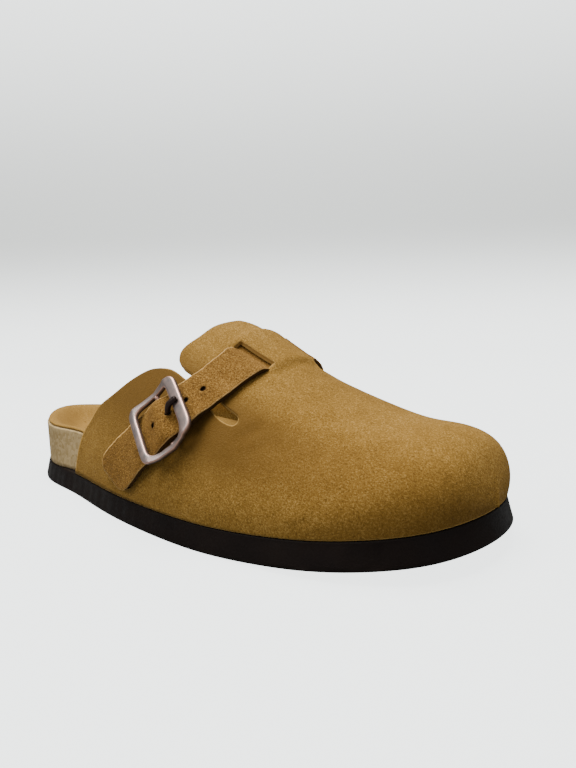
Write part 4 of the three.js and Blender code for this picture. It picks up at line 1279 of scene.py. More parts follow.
@dataclass
class Buckle:
    """The bowed buckle frame with its pin and prong, and the leather tab that holds it."""

    path: StrapPath
    length: float = 26.5
    pin_offset: float = 0.75
    width: float = 26.8
    bow: float = 1.9
    far_bar: float = 5.0
    near_bar: float = 3.2
    arm: float = 2.4
    arm_dip: float = 2.4
    prong_radius: float = 1.2
    corner_power: float = 0.2
    tab_length: float = 9.0
    tab_width: float = 17.0
    # share across the bar and share of its thickness, round one section
    bar_section: tuple = (
        (0.0, -0.36), (0.0, 0.12), (0.02, 0.28), (0.07, 0.41), (0.15, 0.47), (0.3, 0.5), (0.5, 0.5),
        (0.7, 0.5), (0.85, 0.46), (0.93, 0.38), (0.98, 0.26), (1.0, 0.1), (1.0, -0.36), (0.95, -0.46),
        (0.8, -0.5), (0.5, -0.5), (0.2, -0.5), (0.05, -0.46),
    )

    def __post_init__(self) -> None:
        """Finds the buckle plane."""
        self.matrix = self.path.buckle_matrix()

    def place(self, points: Array) -> Array:
        """Returns points of the buckle plane in the last's frame."""
        return points @ self.matrix[:3, :3].T + self.matrix[:3, 3]

    def extent(self, p: Array) -> Array:
        """Returns the reach from the pin to the outside of the far bar, or of the near one where p < 0."""
        return self.length / 2 - np.sign(p) * self.pin_offset

    def bar(self, p: Array) -> Array:
        """Returns the width of the far or the near bar."""
        return np.where(p > 0, self.far_bar, self.near_bar)

    def frame_height(self, p: Array) -> Array:
        """Returns the height of the frame's middle: level bars, and arms that dip in a parabola."""
        share = np.minimum(1, (p / (self.extent(p) - self.bar(p))) ** 2)
        return self.path.bar_height - self.arm_dip * (1 - share)

    def section(self) -> tuple[Array, Array]:
        """Returns shares across the bar and heights of one section with rounded edges."""
        return tuple(np.array(self.bar_section).T)

    def build_frame(self) -> bpy.types.Object:
        """Builds the frame: a rounded-corner loop swept with the section, its sides bowed outwards.

        Returns:
            The new object.
        """
        turn = np.linspace(0, 2 * math.pi, 241)[:-1, None] + 1e-9

        def rounded(v: Array) -> Array:
            """Returns a sine or cosine pressed towards 1, which squares the loop's corners."""
            return np.sign(v) * np.abs(v) ** self.corner_power

        u, v = rounded(np.cos(turn)), rounded(np.sin(turn))
        extent, bar = self.extent(u), self.bar(u)
        p = extent * u
        bow = self.bow * (1 - u**4)
        across, height = self.section()
        q_out = self.width / 2 * v + np.sign(v) * bow
        q_in = (self.width / 2 - self.arm) * v + np.sign(v) * bow
        pp = mix(p, (extent - bar) * u, across[None])
        qq = mix(q_out, q_in, across[None])
        hh = self.frame_height(pp) + height[None] * self.path.frame
        rings = self.place(np.stack([pp, qq, hh], -1))
        faces = skin(rings, closed_along=True)
        layers = {"rim": np.tile(np.minimum(across, 1 - across), len(turn)), "up": np.tile(height, len(turn))}
        points = rings.reshape(-1, 3)
        return mesh_object("buckle_frame_metal", points, outward(points, faces), layers)

    def tube(self, name: str, path: Array, radius: Array) -> bpy.types.Object:
        """Sweeps a circle along a path in the buckle plane, with round ends.

        Args:
            name: the piece's name.
            path: points (p, q, h) of the middle line.
            radius: the radius at each point.

        Returns:
            The new object.
        """
        ahead = norm(np.gradient(path, axis=0))
        q = np.array([0.0, 1.0, 0.0])
        along_q = abs(ahead[0] @ q) > 0.9
        side = np.broadcast_to([1.0, 0, 0], ahead.shape) if along_q else norm(np.cross(ahead, q))
        other = np.cross(ahead, side)
        turn = np.linspace(0, 2 * math.pi, 21)[:-1][None, :, None]
        spoke = np.cos(turn) * side[:, None] + np.sin(turn) * other[:, None]
        ring = path[:, None] + radius[:, None, None] * spoke
        points, faces, _ = merged(self.place(ring.reshape(-1, 3)), skin(ring), {}, 1e-5)
        return mesh_object(name, points, outward(points, faces))

    @staticmethod
    def tapered(count: int, radius: float, end: float) -> Array:
        """Returns radii along a tube that close at both ends like half ellipses.

        Args:
            count: how many radii.
            radius: the full radius.
            end: the share of the tube that closes at each end.

        Returns:
            The radii.
        """
        k = np.linspace(0, 1, count)
        near = np.clip(np.minimum(k, 1 - k) / end, 0, 1)
        return radius * np.sqrt(np.maximum(0, 1 - (1 - near) ** 2))

    def build_pin(self) -> bpy.types.Object:
        """Builds the pin that crosses the frame under the strap.

        Returns:
            The new object.
        """
        reach = (self.width + self.bow) / 2
        q = np.linspace(-reach, reach, 40)
        ends = smooth((np.abs(q) - self.path.width / 2) / 2)
        path = np.stack([0 * q, q, mix(self.path.pin_height, self.path.bar_height - self.arm_dip, ends)], -1)
        return self.tube("buckle_pin_metal", path, self.tapered(40, self.path.pin / 2, 0.02))

    def build_prong(self) -> bpy.types.Object:
        """Builds the prong: round the pin, up through the strap and down on to the far bar.

        Returns:
            The new object.
        """
        pin, bar = self.path.pin_height, self.path.bar_height
        radius = self.path.prong / 2
        turn = self.path.pin / 2 + LAST.clearance + radius
        top = bar + self.path.frame / 2
        knots = np.array([
            (-turn, pin), (-turn * 0.72, pin + turn * 0.72), (0, pin + turn),
            (2.4, self.path.over_pin + 0.1), (4.8, self.path.over_pin + 1.7),
            (7.6, top + 1.1), (9.8, top + 1.2), (11.6, top + 1.0),
        ])
        reach = np.concatenate([[0], np.cumsum(np.hypot(*np.diff(knots, axis=0).T))])
        run = np.linspace(0, reach[-1], 90)
        path = np.stack([Spline(reach, knots[:, 0])(run), 0 * run, Spline(reach, knots[:, 1])(run)], -1)
        free = smooth((path[:, 0] - 2.4) / 3.0) * smooth((path[:, 2] - pin) / 2)
        thick = mix(radius, self.prong_radius, free)
        return self.tube("buckle_prong_metal", path, self.tapered(90, 1.0, 0.045) * thick)

    def build_tab(self) -> bpy.types.Object:
        """Builds the tab: a strip folded round the pin, its two layers sewn down below the strap.

        Returns:
            The new object.
        """
        pin = self.path.pin_height
        middle = self.path.pin / 2 + LAST.clearance + self.path.tab / 2
        turn = np.linspace(-math.pi / 2, math.pi * 0.75, 26)
        flat = np.linspace(-self.tab_length, 0, 14)[:-1]
        p = np.concatenate([flat, middle * np.cos(turn)])
        h = np.concatenate([0 * flat + pin - middle, pin + middle * np.sin(turn)])
        ahead = norm(np.gradient(np.stack([p, h], -1), axis=0))
        off = np.stack([-ahead[:, 1], ahead[:, 0]], -1) * self.path.tab / 2
        q = np.linspace(-self.tab_width / 2, self.tab_width / 2, 41)
        slit = self.path.prong / 2 + 2 * LAST.clearance
        q = np.unique(np.concatenate([q, [-slit, slit]]).round(6))

        def face(sign: float) -> Array:
            """Returns the grid of points of one face.

            Args:
                sign: 1 for the outer face and -1 for the inner one.

            Returns:
                A grid of points.
            """
            pp = (p + sign * off[:, 0])[:, None] + 0 * q
            hh = (h + sign * off[:, 1])[:, None] + 0 * q
            return self.place(np.stack([pp, 0 * pp + q, hh], -1).reshape(-1, 3)).reshape(*pp.shape, 3)

        middle_q = (q[:-1] + q[1:]) / 2
        middle_h = (h[:-1] + h[1:]) / 2
        in_fold = (middle_h > pin - 0.2) & (p[:-1] > -self.tab_length / 2)
        sheet = Sheet("buckle_tab_suede", bulge=0.15, rim_rows=3)
        shares = np.stack(np.meshgrid(p, q, indexing="ij"), -1)
        sheet.add(face(-1), face(1), shares, ~(in_fold[:, None] & (np.abs(middle_q)[None] < slit)))
        return sheet.build()


def srgb(code: str) -> Colour:
    """Returns a colour written as six hex digits in linear light."""
    parts = [int(code[i:i + 2], 16) / 255 for i in (0, 2, 4)]
    return (*[v / 12.92 if v <= 0.04045 else ((v + 0.055) / 1.055) ** 2.4 for v in parts], 1.0)


class Graph:
    """A thin layer over a node tree that makes and links nodes in one call."""

    def __init__(self, tree: bpy.types.NodeTree) -> None:
        """Keeps the tree to build in."""
        self.tree = tree

    def node(self, kind: str, inputs: dict | None = None, **settings: object) -> bpy.types.Node:
        """Makes a node.

        Args:
            kind: the node's type name.
            inputs: sockets or constants by input name or number.
            settings: properties of the node itself.

        Returns:
            The new node.
        """
        node = self.tree.nodes.new(kind)
        for key, value in settings.items():
            setattr(node, key, value)
        for key, value in (inputs or {}).items():
            self.feed(node.inputs[key], value)
        return node

    def feed(self, socket: Socket, value: object) -> None:
        """Links a socket to an input socket, or sets a constant on it.

        Args:
            socket: the input socket.
            value: an output socket or a constant.
        """
        if isinstance(value, Socket):
            self.tree.links.new(value, socket)
        else:
            socket.default_value = value

    def math(self, operation: str, *values: object, clamp: bool = False) -> Socket:
        """Returns the result of a Math node."""
        inputs = dict(enumerate(values))
        return self.node("ShaderNodeMath", inputs, operation=operation, use_clamp=clamp).outputs[0]

    def span(self, value: object, low: float, high: float, to_low: float = 0.0,
             to_high: float = 1.0) -> Socket:
        """Returns a value taken smoothly from low..high to to_low..to_high."""
        inputs = {"Value": value, "From Min": low, "From Max": high, "To Min": to_low, "To Max": to_high}
        return self.node("ShaderNodeMapRange", inputs, interpolation_type="SMOOTHSTEP").outputs[0]

    def blend(self, share: object, a: object, b: object) -> Socket:
        """Returns two colours mixed."""
        return self.node("ShaderNodeMix", {0: share, 6: a, 7: b}, data_type="RGBA").outputs[2]

    def noise(self, place: object, scale: object, detail: float = 3.0, rough: float = 0.55,
              distort: float = 0.0) -> Socket:
        """Returns the value of a noise texture."""
        inputs = {"Vector": place, "Scale": scale, "Detail": detail, "Roughness": rough}
        return self.node("ShaderNodeTexNoise", {**inputs, "Distortion": distort}).outputs[0]

    def stretch(self, place: object, scale: tuple, turn: tuple) -> Socket:
        """Returns a place turned and scaled."""
        inputs = {"Vector": place, "Rotation": turn, "Scale": scale}
        return self.node("ShaderNodeMapping", inputs).outputs[0]

    def attribute(self, name: str) -> Socket:
        """Returns the value of a mesh attribute."""
        return self.node("ShaderNodeAttribute", attribute_name=name).outputs["Fac"]

    def group(self, tree: bpy.types.NodeTree, inputs: dict) -> bpy.types.Node:
        """Adds a node group and sets its inputs."""
        return self.node("ShaderNodeGroup", inputs, node_tree=tree)


SOCKETS = {"c": "NodeSocketColor", "f": "NodeSocketFloat", "v": "NodeSocketVector"}


def effect(name: str, inputs: dict[str, str], outputs: dict[str, str],
           body: Callable[[Graph, dict], dict]) -> bpy.types.NodeTree:
    """Makes a shader node group, once.

    Args:
        name: the group's name.
        inputs: kind of each input by name: c colour, f number, v vector.
        outputs: kind of each output by name.
        body: builds the nodes from the graph and the input sockets and returns the output sockets.

    Returns:
        The node group.
    """
    if name in bpy.data.node_groups:
        return bpy.data.node_groups[name]
    tree = bpy.data.node_groups.new(name, "ShaderNodeTree")
    for in_out, sockets in (("INPUT", inputs), ("OUTPUT", outputs)):
        for key, kind in sockets.items():
            tree.interface.new_socket(name=key, in_out=in_out, socket_type=SOCKETS[kind])
    graph = Graph(tree)
    entry, leave = graph.node("NodeGroupInput"), graph.node("NodeGroupOutput")
    results = body(graph, {key: entry.outputs[key] for key in inputs})
    for key, socket in results.items():
        tree.links.new(socket, leave.inputs[key])
    return tree


def suede_nap() -> bpy.types.NodeTree:
    """Makes the nap effect: faint clouds of lighter and darker nap, a fine grain and its height.

    Returns:
        The node group.
    """
    def body(g: Graph, i: dict) -> dict:
        """Builds clouds at two sizes and a grain at two sizes, all about a middle tone.

        Args:
            g: the graph to build in.
            i: the group's input sockets by name.

        Returns:
            The output sockets by name.
        """
        place = i["Place"]
        cloud = g.noise(place, 34.0, 2.0, 0.5, 0.4)
        patch = g.noise(place, 190.0, 3.0, 0.6, 0.3)
        speck = g.noise(place, 1450.0, 2.0, 0.6)
        fibre = g.noise(place, 2900.0, 2.0, 0.7)
        slow = g.math("MULTIPLY_ADD", g.math("SUBTRACT", cloud, 0.5), 0.5,
                      g.math("MULTIPLY", g.math("SUBTRACT", patch, 0.5), i["Mottle"]))
        fast = g.math("SUBTRACT", g.math("MULTIPLY_ADD", fibre, 0.7, speck), 0.85)
        fast = g.math("MULTIPLY", fast, i["Speck"])
        share = g.math("ADD", g.math("ADD", slow, fast), 0.5, clamp=True)
        dark = g.blend(g.span(share, 0.0, 0.5), i["Dark"], i["Base"])
        colour = g.blend(g.span(share, 0.5, 1.0), dark, i["Light"])
        height = g.math("MULTIPLY_ADD", speck, 0.8, g.math("MULTIPLY", patch, 0.4))
        height = g.math("MULTIPLY_ADD", fibre, 0.5, height)
        return {"Colour": colour, "Height": height, "Tone": share}

    inputs = {"Place": "v", "Base": "c", "Light": "c", "Dark": "c", "Mottle": "f", "Speck": "f"}
    return effect("suede_nap", inputs, {"Colour": "c", "Height": "f", "Tone": "f"}, body)


def cut_edge() -> bpy.types.NodeTree:
    """Returns the raw edge effect: a mask of the cut edge with a torn, fibrous inner border.

    Returns:
        The node group.
    """
    def body(g: Graph, i: dict) -> dict:
        """Builds the mask from the distance to the edge and two noises.

        Args:
            g: the graph to build in.
            i: the group's input sockets by name.

        Returns:
            The output sockets by name.
        """
        torn = g.noise(i["Place"], 1500.0, 3.0, 0.7)
        slow = g.noise(i["Place"], 260.0, 2.0, 0.6)
        shift = g.math("MULTIPLY", g.math("SUBTRACT", g.math("ADD", torn, slow), 1.0), i["Tear"])
        ratio = g.math("DIVIDE", g.math("ADD", i["Distance"], shift), i["Width"])
        return {"Mask": g.span(ratio, 0.35, 1.0, 1.0, 0.0)}

    inputs = {"Place": "v", "Distance": "f", "Width": "f", "Tear": "f"}
    return effect("cut_edge", inputs, {"Mask": "f"}, body)


def fine_grain() -> bpy.types.NodeTree:
    """Returns a grain effect for pressed and moulded stuff: cells with soft borders, pits and a slow tone.

    Returns:
        The node group.
    """
    def body(g: Graph, i: dict) -> dict:
        """Builds the cells of a Voronoi texture, pits from a noise and a slow cloud.

        Args:
            g: the graph to build in.
            i: the group's input sockets by name.

        Returns:
            The output sockets by name.
        """
        place = i["Place"]
        warp = g.node("ShaderNodeTexNoise", {"Vector": place, "Scale": 400.0, "Detail": 2.0})
        bent = g.node("ShaderNodeVectorMath", {0: warp.outputs["Color"], "Scale": 0.0012}, operation="SCALE")
        spot = g.node("ShaderNodeVectorMath", {0: place, 1: bent.outputs[0]}, operation="ADD")
        cells = g.node("ShaderNodeTexVoronoi", {"Vector": spot.outputs[0], "Scale": i["Scale"]})
        grey = g.node("ShaderNodeSeparateColor", {0: cells.outputs["Color"]}).outputs[0]
        border = g.span(cells.outputs["Distance"], 0.25, 0.75)
        pits = g.span(g.noise(place, g.math("MULTIPLY", i["Scale"], 0.6), 4.0, 0.7), 0.66, 0.74)
        slow = g.noise(place, 60.0, 3.0, 0.6)
        return {"Cell": grey, "Border": border, "Pits": pits, "Slow": slow}

    outputs = {"Cell": "f", "Border": "f", "Pits": "f", "Slow": "f"}
    return effect("fine_grain", {"Place": "v", "Scale": "f"}, outputs, body)


class Finish:
    """A material that a piece can wear."""

    name: str

    def start(self) -> tuple[bpy.types.Material, Graph, bpy.types.Node, Socket]:
        """Returns a new material, its graph, its Principled BSDF and Object coordinates.

        Returns:
            The material, its graph, its shader and the coordinates.
        """
        material = bpy.data.materials.new(self.name)
        material.use_nodes = True
        graph = Graph(material.node_tree)
        shader = next(n for n in material.node_tree.nodes if n.type == "BSDF_PRINCIPLED")
        return material, graph, shader, graph.node("ShaderNodeTexCoord").outputs["Object"]

    def build(self) -> bpy.types.Material:
        """Returns the material."""
        raise NotImplementedError

    @staticmethod
    def set(shader: bpy.types.Node, graph: Graph, **values: object) -> None:
        """Sets sockets of the shader; words of a socket's name are joined by underscores."""
        for key, value in values.items():
            graph.feed(shader.inputs[key.replace("_", " ")], value)

    @staticmethod
    def bump(graph: Graph, height: object, distance: float) -> Socket:
        """Returns a normal bent by a height; distance is in metres for one unit of height."""
        inputs = {"Height": height, "Distance": distance, "Strength": 1.0}
        return graph.node("ShaderNodeBump", inputs).outputs[0]


@dataclass(frozen=True)
class Suede(Finish):
    """Suede leather: mottled nap, a paler cut edge, a soft sheen and, where set, painted shade."""

    name: str
    base: str
    light: str
    dark: str
    edge: str
    mottle: float = 0.35
    speck: float = 1.3
    nap_mm: float = 0.28
    edge_mm: float = 0.5
    tear_mm: float = 0.5
    sheen: float = 0.35
    # shares of painted shade: the toe's low front and a band along the outer side
    toe_painted_shade: float = 0.0
    quarter_painted_shade: float = 0.0
    # colour of the side walls, partly the cut edge's own and partly painted shade, and of the painted shade
    # in the holes
    side: str = ""
    has_edge: bool = True

    def build(self) -> bpy.types.Material:
        """Returns the material.

        Returns:
            The new material.
        """
        material, g, shader, place = self.start()
        nap = g.group(suede_nap(), {"Place": place, "Base": srgb(self.base), "Light": srgb(self.light),
                                    "Dark": srgb(self.dark), "Mottle": self.mottle, "Speck": self.speck})
        colour, height = nap.outputs["Colour"], nap.outputs["Height"]
        if self.toe_painted_shade:
            colour = self.paint_shade(g, colour)
        if self.has_edge:
            colour = self.edged(g, place, colour)
        rough = g.span(nap.outputs["Tone"], 0.0, 1.0, 0.98, 0.86)
        self.set(shader, g, Base_Color=colour, Roughness=rough, Normal=self.bump(g, height, self.nap_mm * MM),
                 Sheen_Weight=self.sheen, Sheen_Roughness=0.55, Sheen_Tint=srgb(self.light),
                 Specular_IOR_Level=0.12)
        return material

    def paint_shade(self, g: Graph, colour: Socket) -> Socket:
        """Paints shade: darkens the low front of the toe and a band along the outer side, which the light
        from above misses.

        Args:
            g: the material's graph.
            colour: the colour so far.

        Returns:
            The darkened colour.
        """
        along, rise = g.attribute("share_0"), g.attribute("share_1")
        # painted shade on the low front of the toe, on the outer side only
        toe = g.math("MULTIPLY", g.span(along, 0.78, 0.99), g.span(rise, 0.05, 0.75, 1.0, 0.0))
        colour = g.blend(g.math("MULTIPLY", toe, self.toe_painted_shade), colour, srgb(self.dark))
        # painted shade: a band along the outer side, which faces away from the top light, fading towards the
        # toe
        side_painted_shade = g.math("MULTIPLY", g.span(rise, 0.12, 0.36), g.span(rise, 0.5, 0.7, 1.0, 0.0))
        side_painted_shade = g.math("MULTIPLY", side_painted_shade, g.span(along, 0.66, 0.98, self.quarter_painted_shade, 0.0))
        return g.blend(side_painted_shade, colour, srgb(self.dark))

    def edged(self, g: Graph, place: Socket, colour: Socket) -> Socket:
        """Adds the pale cut edge and, where a side colour is set, dark side walls, partly the cut edge's own
        colour and partly painted shade, and painted shade in and round the holes.

        Args:
            g: the material's graph.
            place: Object coordinates.
            colour: the colour so far.

        Returns:
            The colour with its edges.
        """
        cut = g.group(cut_edge(), {"Place": place, "Distance": g.attribute("edge_mm"),
                                   "Width": self.edge_mm, "Tear": self.tear_mm})
        mask = cut.outputs["Mask"]
        if not self.side:
            return g.blend(mask, colour, srgb(self.edge))
        hole, depth = g.attribute("share_2"), g.attribute("depth")
        colour = g.blend(g.math("MULTIPLY", mask, g.span(hole, 0.4, 0.9)), colour, srgb(self.edge))
        # painted shade: the side walls turn the side colour, partly their own cut edge colour, and so do the
        # holes and a thin ring round them
        wall = g.math("MAXIMUM", g.span(depth, 0.1, 0.3), g.span(hole, 0.05, 0.35, 1.0, 0.0))
        return g.blend(wall, colour, srgb(self.side))


@dataclass(frozen=True)
class CorkFinish(Finish):
    """Pressed cork: fine granules, a few pits and a paler upper edge."""

    name: str = "cork"
    base: str = "8a744c"
    light: str = "a58e65"
    dark: str = "6b5737"
    grain: float = 620.0

    def build(self) -> bpy.types.Material:
        """Returns the material.

        Returns:
            The new material.
        """
        material, g, shader, place = self.start()
        grain = g.group(fine_grain(), {"Place": place, "Scale": self.grain})
        out = grain.outputs
        tone = g.math("MULTIPLY_ADD", out["Cell"], 0.35, g.math("MULTIPLY", out["Slow"], 0.7))
        colour = g.blend(g.span(tone, 0.3, 0.75), srgb(self.base), srgb(self.light))
        colour = g.blend(g.math("MULTIPLY", out["Pits"], 0.65), colour, srgb(self.dark))
        rim = g.span(g.attribute("height_share"), 0.86, 0.99)
        colour = g.blend(g.math("MULTIPLY", rim, 0.45), colour, srgb(self.light))
        height = g.math("MULTIPLY_ADD", out["Border"], -0.4, g.math("MULTIPLY", out["Pits"], -1.2))
        rough = g.span(out["Cell"], 0.0, 1.0, 0.82, 0.7)
        self.set(shader, g, Base_Color=colour, Roughness=rough, Normal=self.bump(g, height, 0.1 * MM),
                 Specular_IOR_Level=0.25)
        return material


@dataclass(frozen=True)
class FoamFinish(Finish):
    """Moulded foam: nearly black brown, satin, with fine pores."""

    name: str = "outsole_foam"
    base: str = "0b0402"
    light: str = "120905"
    grain: float = 1500.0

    def build(self) -> bpy.types.Material:
        """Returns the material.

        Returns:
            The new material.
        """
        material, g, shader, place = self.start()
        out = g.group(fine_grain(), {"Place": place, "Scale": self.grain}).outputs
        colour = g.blend(g.span(out["Slow"], 0.35, 0.75), srgb(self.base), srgb(self.light))
        height = g.math("MULTIPLY_ADD", out["Border"], -0.5, g.math("MULTIPLY", out["Pits"], -0.8))
        rough = g.span(out["Slow"], 0.3, 0.7, 0.5, 0.65)
        self.set(shader, g, Base_Color=colour, Roughness=rough, Normal=self.bump(g, height, 0.05 * MM),
                 Specular_IOR_Level=0.12)
        return material


@dataclass(frozen=True)
class BrushedMetal(Finish):
    """Brushed antique copper: grey faces with fine scratches, bright pinkish top edges that are partly worn
    copper and partly painted highlight, and painted shade on the frame's underside.
    """

    name: str = "buckle_metal"
    face: str = "857d79"
    # pale copper for the random tone and for the bright top edges, partly worn and partly painted highlight
    worn_and_highlight: str = "cfa08e"
    # colour of the painted shade on the frame's underside
    deep: str = "3a2a26"
    framed: bool = True

    def build(self) -> bpy.types.Material:
        """Returns the material.

        Returns:
            The new material.
        """
        material, g, shader, place = self.start()
        scratch = g.noise(g.stretch(place, (300.0, 300.0, 9000.0), (0.5, 0.2, 0.4)), 1.0, 3.0, 0.7)
        cloud = g.noise(place, 260.0, 3.0, 0.6)
        colour = g.blend(g.span(cloud, 0.3, 0.7), srgb(self.face), srgb(self.worn_and_highlight))
        if self.framed:
            # bright top edges of the frame: partly worn copper, partly painted highlight
            rim = g.span(g.attribute("rim"), 0.03, 0.16, 1.0, 0.0)
            high = g.span(g.attribute("up"), 0.1, 0.42)
            plain = g.blend(0.75, colour, srgb(self.face))
            colour = g.blend(g.math("MULTIPLY", rim, high), plain, srgb(self.worn_and_highlight))
            # painted shade: the lower half of the bar's section turns to the deep colour, on the frame's
            # underside
            colour = g.blend(g.span(g.attribute("up"), -0.4, 0.2, 0.85, 0.0), colour, srgb(self.deep))
        wear = g.math("MULTIPLY_ADD", cloud, 0.5, g.math("MULTIPLY", scratch, 0.5))
        rough = g.span(wear, 0.3, 0.7, 0.36, 0.52)
        self.set(shader, g, Base_Color=colour, Roughness=rough, Metallic=0.85,
                 Normal=self.bump(g, scratch, 0.012 * MM))
        return material


# the toe and quarter shades below are painted shade on the outer side
UPPER = Suede("upper_suede", base="785822", light="9c7b40", dark="523911", edge="9a7840", toe_painted_shade=0.65,
              quarter_painted_shade=0.95, speck=1.6)
# the strap's side colour is partly its cut edge's own colour and partly painted shade
STRAP = Suede("strap_suede", base="6f4e1e", light="957139", dark="472f0f", edge="b8935a", mottle=0.5,
              speck=1.9, nap_mm=0.5, edge_mm=0.55, tear_mm=0.7, side="2e1e0b")
TAB = Suede("tab_suede", base="5c3f18", light="74532a", dark="3c280e", edge="80602f")
LINING = Suede("lining_suede", base="85652f", light="9b7a44", dark="6f5124", edge="85652f", has_edge=False,
               nap_mm=0.15)


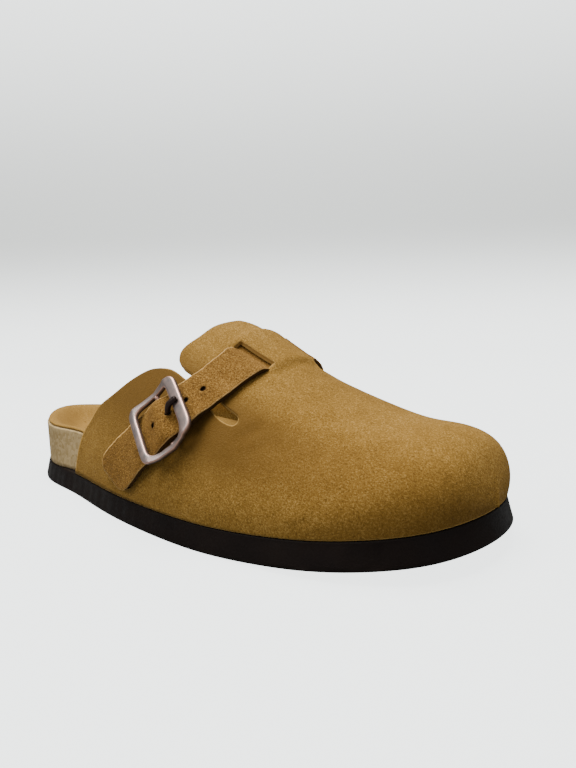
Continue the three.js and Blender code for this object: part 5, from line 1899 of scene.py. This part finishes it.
class Studio:
    """A pale seamless floor with soft light, and the camera at the photograph's place."""

    azimuth = 42.0
    elevation = 6.5
    roll = -2.37
    distance = 283.44
    target = (25.12, 29.7, 52.05)
    focal = 577.0
    height_px = 768
    half_width = 2.6
    floor_from = -1.6
    bend_from = 0.9
    bend = 0.6
    backdrop = 2.6
    # name, place from the camera's side (forward, right, up), aim height, size in metres, power in watts
    lamps = (
        ("top", (-0.1, -0.1, 1.5), 0.0, 1.0, 54),
        ("key", (0.7, -0.9, 1.0), 0.03, 1.0, 15),
        ("fill", (1.3, 0.9, 0.8), 0.04, 1.2, 6),
    )

    def axes(self) -> tuple[Array, Array]:
        """Returns the level directions from the shoe to the camera and to the picture's right."""
        a = math.radians(self.azimuth)
        return np.array([math.sin(a), -math.cos(a)]), np.array([math.cos(a), math.sin(a)])

    def floor(self) -> bpy.types.Object:
        """Builds the floor: level under the shoe, then a quarter circle up into a backdrop behind it.

        Returns:
            The floor with its paper, in metres.
        """
        turn = np.linspace(0, math.pi / 2, 24)[1:]
        far = self.bend_from + self.bend
        run = np.concatenate([np.linspace(self.floor_from, self.bend_from, 26),
                              self.bend_from + self.bend * np.sin(turn), np.full(10, far)])
        rise = np.concatenate([np.zeros(26), self.bend * (1 - np.cos(turn)),
                               np.linspace(self.bend, self.backdrop, 11)[1:]])
        across = np.linspace(-self.half_width, self.half_width, 14)
        front, side = self.axes()
        xy = across[None, :, None] * side - run[:, None, None] * front
        z = np.broadcast_to(rise[:, None, None], (*xy.shape[:2], 1))
        points = np.concatenate([xy, z], -1)
        n, m = points.shape[:2]
        ids = np.arange(n * m).reshape(n, m)
        quads = np.stack([ids[:-1, :-1], ids[:-1, 1:], ids[1:, 1:], ids[1:, :-1]], -1).reshape(-1, 4)
        mesh = bpy.data.meshes.new("studio_floor")
        mesh.from_pydata(points.reshape(-1, 3).tolist(), [], quads.tolist())
        mesh.polygons.foreach_set("use_smooth", np.ones(len(quads), bool))
        floor = bpy.data.objects.new("studio_floor", mesh)
        bpy.context.scene.collection.objects.link(floor)
        mesh.materials.append(self.paper())
        return floor

    def paper(self) -> bpy.types.Material:
        """Makes the floor's paper: grey in the light, with painted light on top: a glow that only the camera
        sees, set by its own height, bright on the floor, dimmer at the bend and bright again up the backdrop.

        Returns:
            The material.
        """
        material = bpy.data.materials.new("studio_paper")
        material.use_nodes = True
        shader = next(n for n in material.node_tree.nodes if n.type == "BSDF_PRINCIPLED")
        shader.inputs["Roughness"].default_value = 0.8
        shader.inputs["Specular IOR Level"].default_value = 0.1
        shader.inputs["Base Color"].default_value = srgb("7d7f7e")
        shader.inputs["Emission Strength"].default_value = 1.0
        graph = Graph(material.node_tree)
        place = graph.node("ShaderNodeTexCoord").outputs["Object"]
        height = graph.node("ShaderNodeSeparateXYZ", {0: place}).outputs[2]
        # painted light and shade: the camera-only glow dims at the bend and brightens again up the backdrop
        wall = graph.blend(graph.span(height, 0.0, 0.35), (2.7, 2.82, 2.8, 1.0), (1.05, 1.09, 1.06, 1.0))
        paper = graph.blend(graph.span(height, 0.35, 1.3), wall, (2.6, 2.7, 2.68, 1.0))
        seen = graph.node("ShaderNodeLightPath").outputs["Is Camera Ray"]
        painted_light_glow = graph.blend(seen, (0.0, 0.0, 0.0, 1.0), paper)
        graph.feed(shader.inputs["Emission Color"], painted_light_glow)
        return material

    def light(self, name: str, place: tuple, aim: float, size: float, power: float) -> None:
        """Adds a square area light.

        Args:
            name: the light's name.
            place: where it stands: forward to the camera, right and up, in metres.
            aim: height of the point over the origin that it faces, in metres.
            size: its side in metres.
            power: its power in watts.
        """
        front, side = self.axes()
        data = bpy.data.lights.new(name, "AREA")
        data.energy, data.size = power, size
        lamp = bpy.data.objects.new(name, data)
        lamp.location = (*(place[0] * front + place[1] * side), place[2])
        lamp.rotation_euler = (Vector((0, 0, aim)) - lamp.location).to_track_quat("-Z", "Y").to_euler()
        bpy.context.scene.collection.objects.link(lamp)

    def camera(self) -> None:
        """Places the camera: back from the target, then rolled about its own axis."""
        a, e, r = (math.radians(v) for v in (self.azimuth, self.elevation, self.roll))
        back = np.array([math.sin(a) * math.cos(e), -math.cos(a) * math.cos(e), math.sin(e)])
        target = LAST.metres(np.array(self.target))
        right = norm(np.cross(-back, [0, 0, 1.0]))
        up = np.cross(right, -back)
        right, up = right * math.cos(r) + up * math.sin(r), -right * math.sin(r) + up * math.cos(r)
        place = target + back * self.distance * MM
        data = bpy.data.cameras.new("camera")
        data.sensor_fit, data.sensor_width, data.clip_start = "AUTO", 36.0, 0.01
        data.lens = self.focal / self.height_px * data.sensor_width
        camera = bpy.data.objects.new("camera", data)
        turned = np.eye(4)
        turned[:3] = np.stack([right, up, back, place], 1)
        camera.matrix_world = Matrix(turned.tolist())
        bpy.context.scene.collection.objects.link(camera)
        bpy.context.scene.camera = camera

    def build(self) -> None:
        """Builds floor, lights, surroundings and camera."""
        self.floor()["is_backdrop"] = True
        self.camera()
        for lamp in self.lamps:
            self.light(*lamp)
        world = bpy.data.worlds.new("studio_air")
        world.use_nodes = True
        sky = world.node_tree.nodes["Background"]
        sky.inputs["Color"].default_value = (0.93, 0.95, 1.0, 1.0)
        sky.inputs["Strength"].default_value = 0.15
        bpy.context.scene.world = world


def dress(piece: bpy.types.Object, finish: Finish, slot: str, *nodes: str) -> None:
    """Gives a piece its finish and body, and lets it stand for CAD nodes.

    Args:
        piece: the object.
        finish: its finish.
        slot: the material slot of the row; not used.
        nodes: the CAD nodes that it stands for.
    """
    piece.data.materials.append(finish.build())
    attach(piece, "root")
    if nodes:
        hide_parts(*nodes)
    log.info("%s: %d faces", piece.name, len(piece.data.polygons))


def main() -> None:
    """Builds every piece and the studio."""
    shell = UpperShell()
    path = StrapPath(shell)
    footbed = Footbed()
    buckle = Buckle(path)
    metal = BrushedMetal()
    dress(shell.build(), UPPER, "suede", "upper")
    dress(StrapBelt(path).build(), STRAP, "strap_suede", "strap")
    dress(footbed.build_cork(), CorkFinish(), "cork", "footbed")
    dress(footbed.build_lining(), LINING, "lining_suede", "insole")
    dress(Outsole().build(), FoamFinish(), "outsole_foam", "outsole")
    dress(buckle.build_frame(), metal, "buckle_metal", "buckle_frame")
    dress(buckle.build_pin(), BrushedMetal(name="pin_metal", framed=False), "buckle_metal")
    dark_metal = BrushedMetal(name="prong_metal", face="211a18", worn_and_highlight="382a25", framed=False)
    dress(buckle.build_prong(), dark_metal, "buckle_metal", "buckle_prong")
    dress(buckle.build_tab(), TAB, "suede", "buckle_tab")
    Studio().build()
    [[list(map(float, corner)) for corner in box] for box in (CAD_BOUNDS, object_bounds())]


if __name__ == "__main__":
    main()
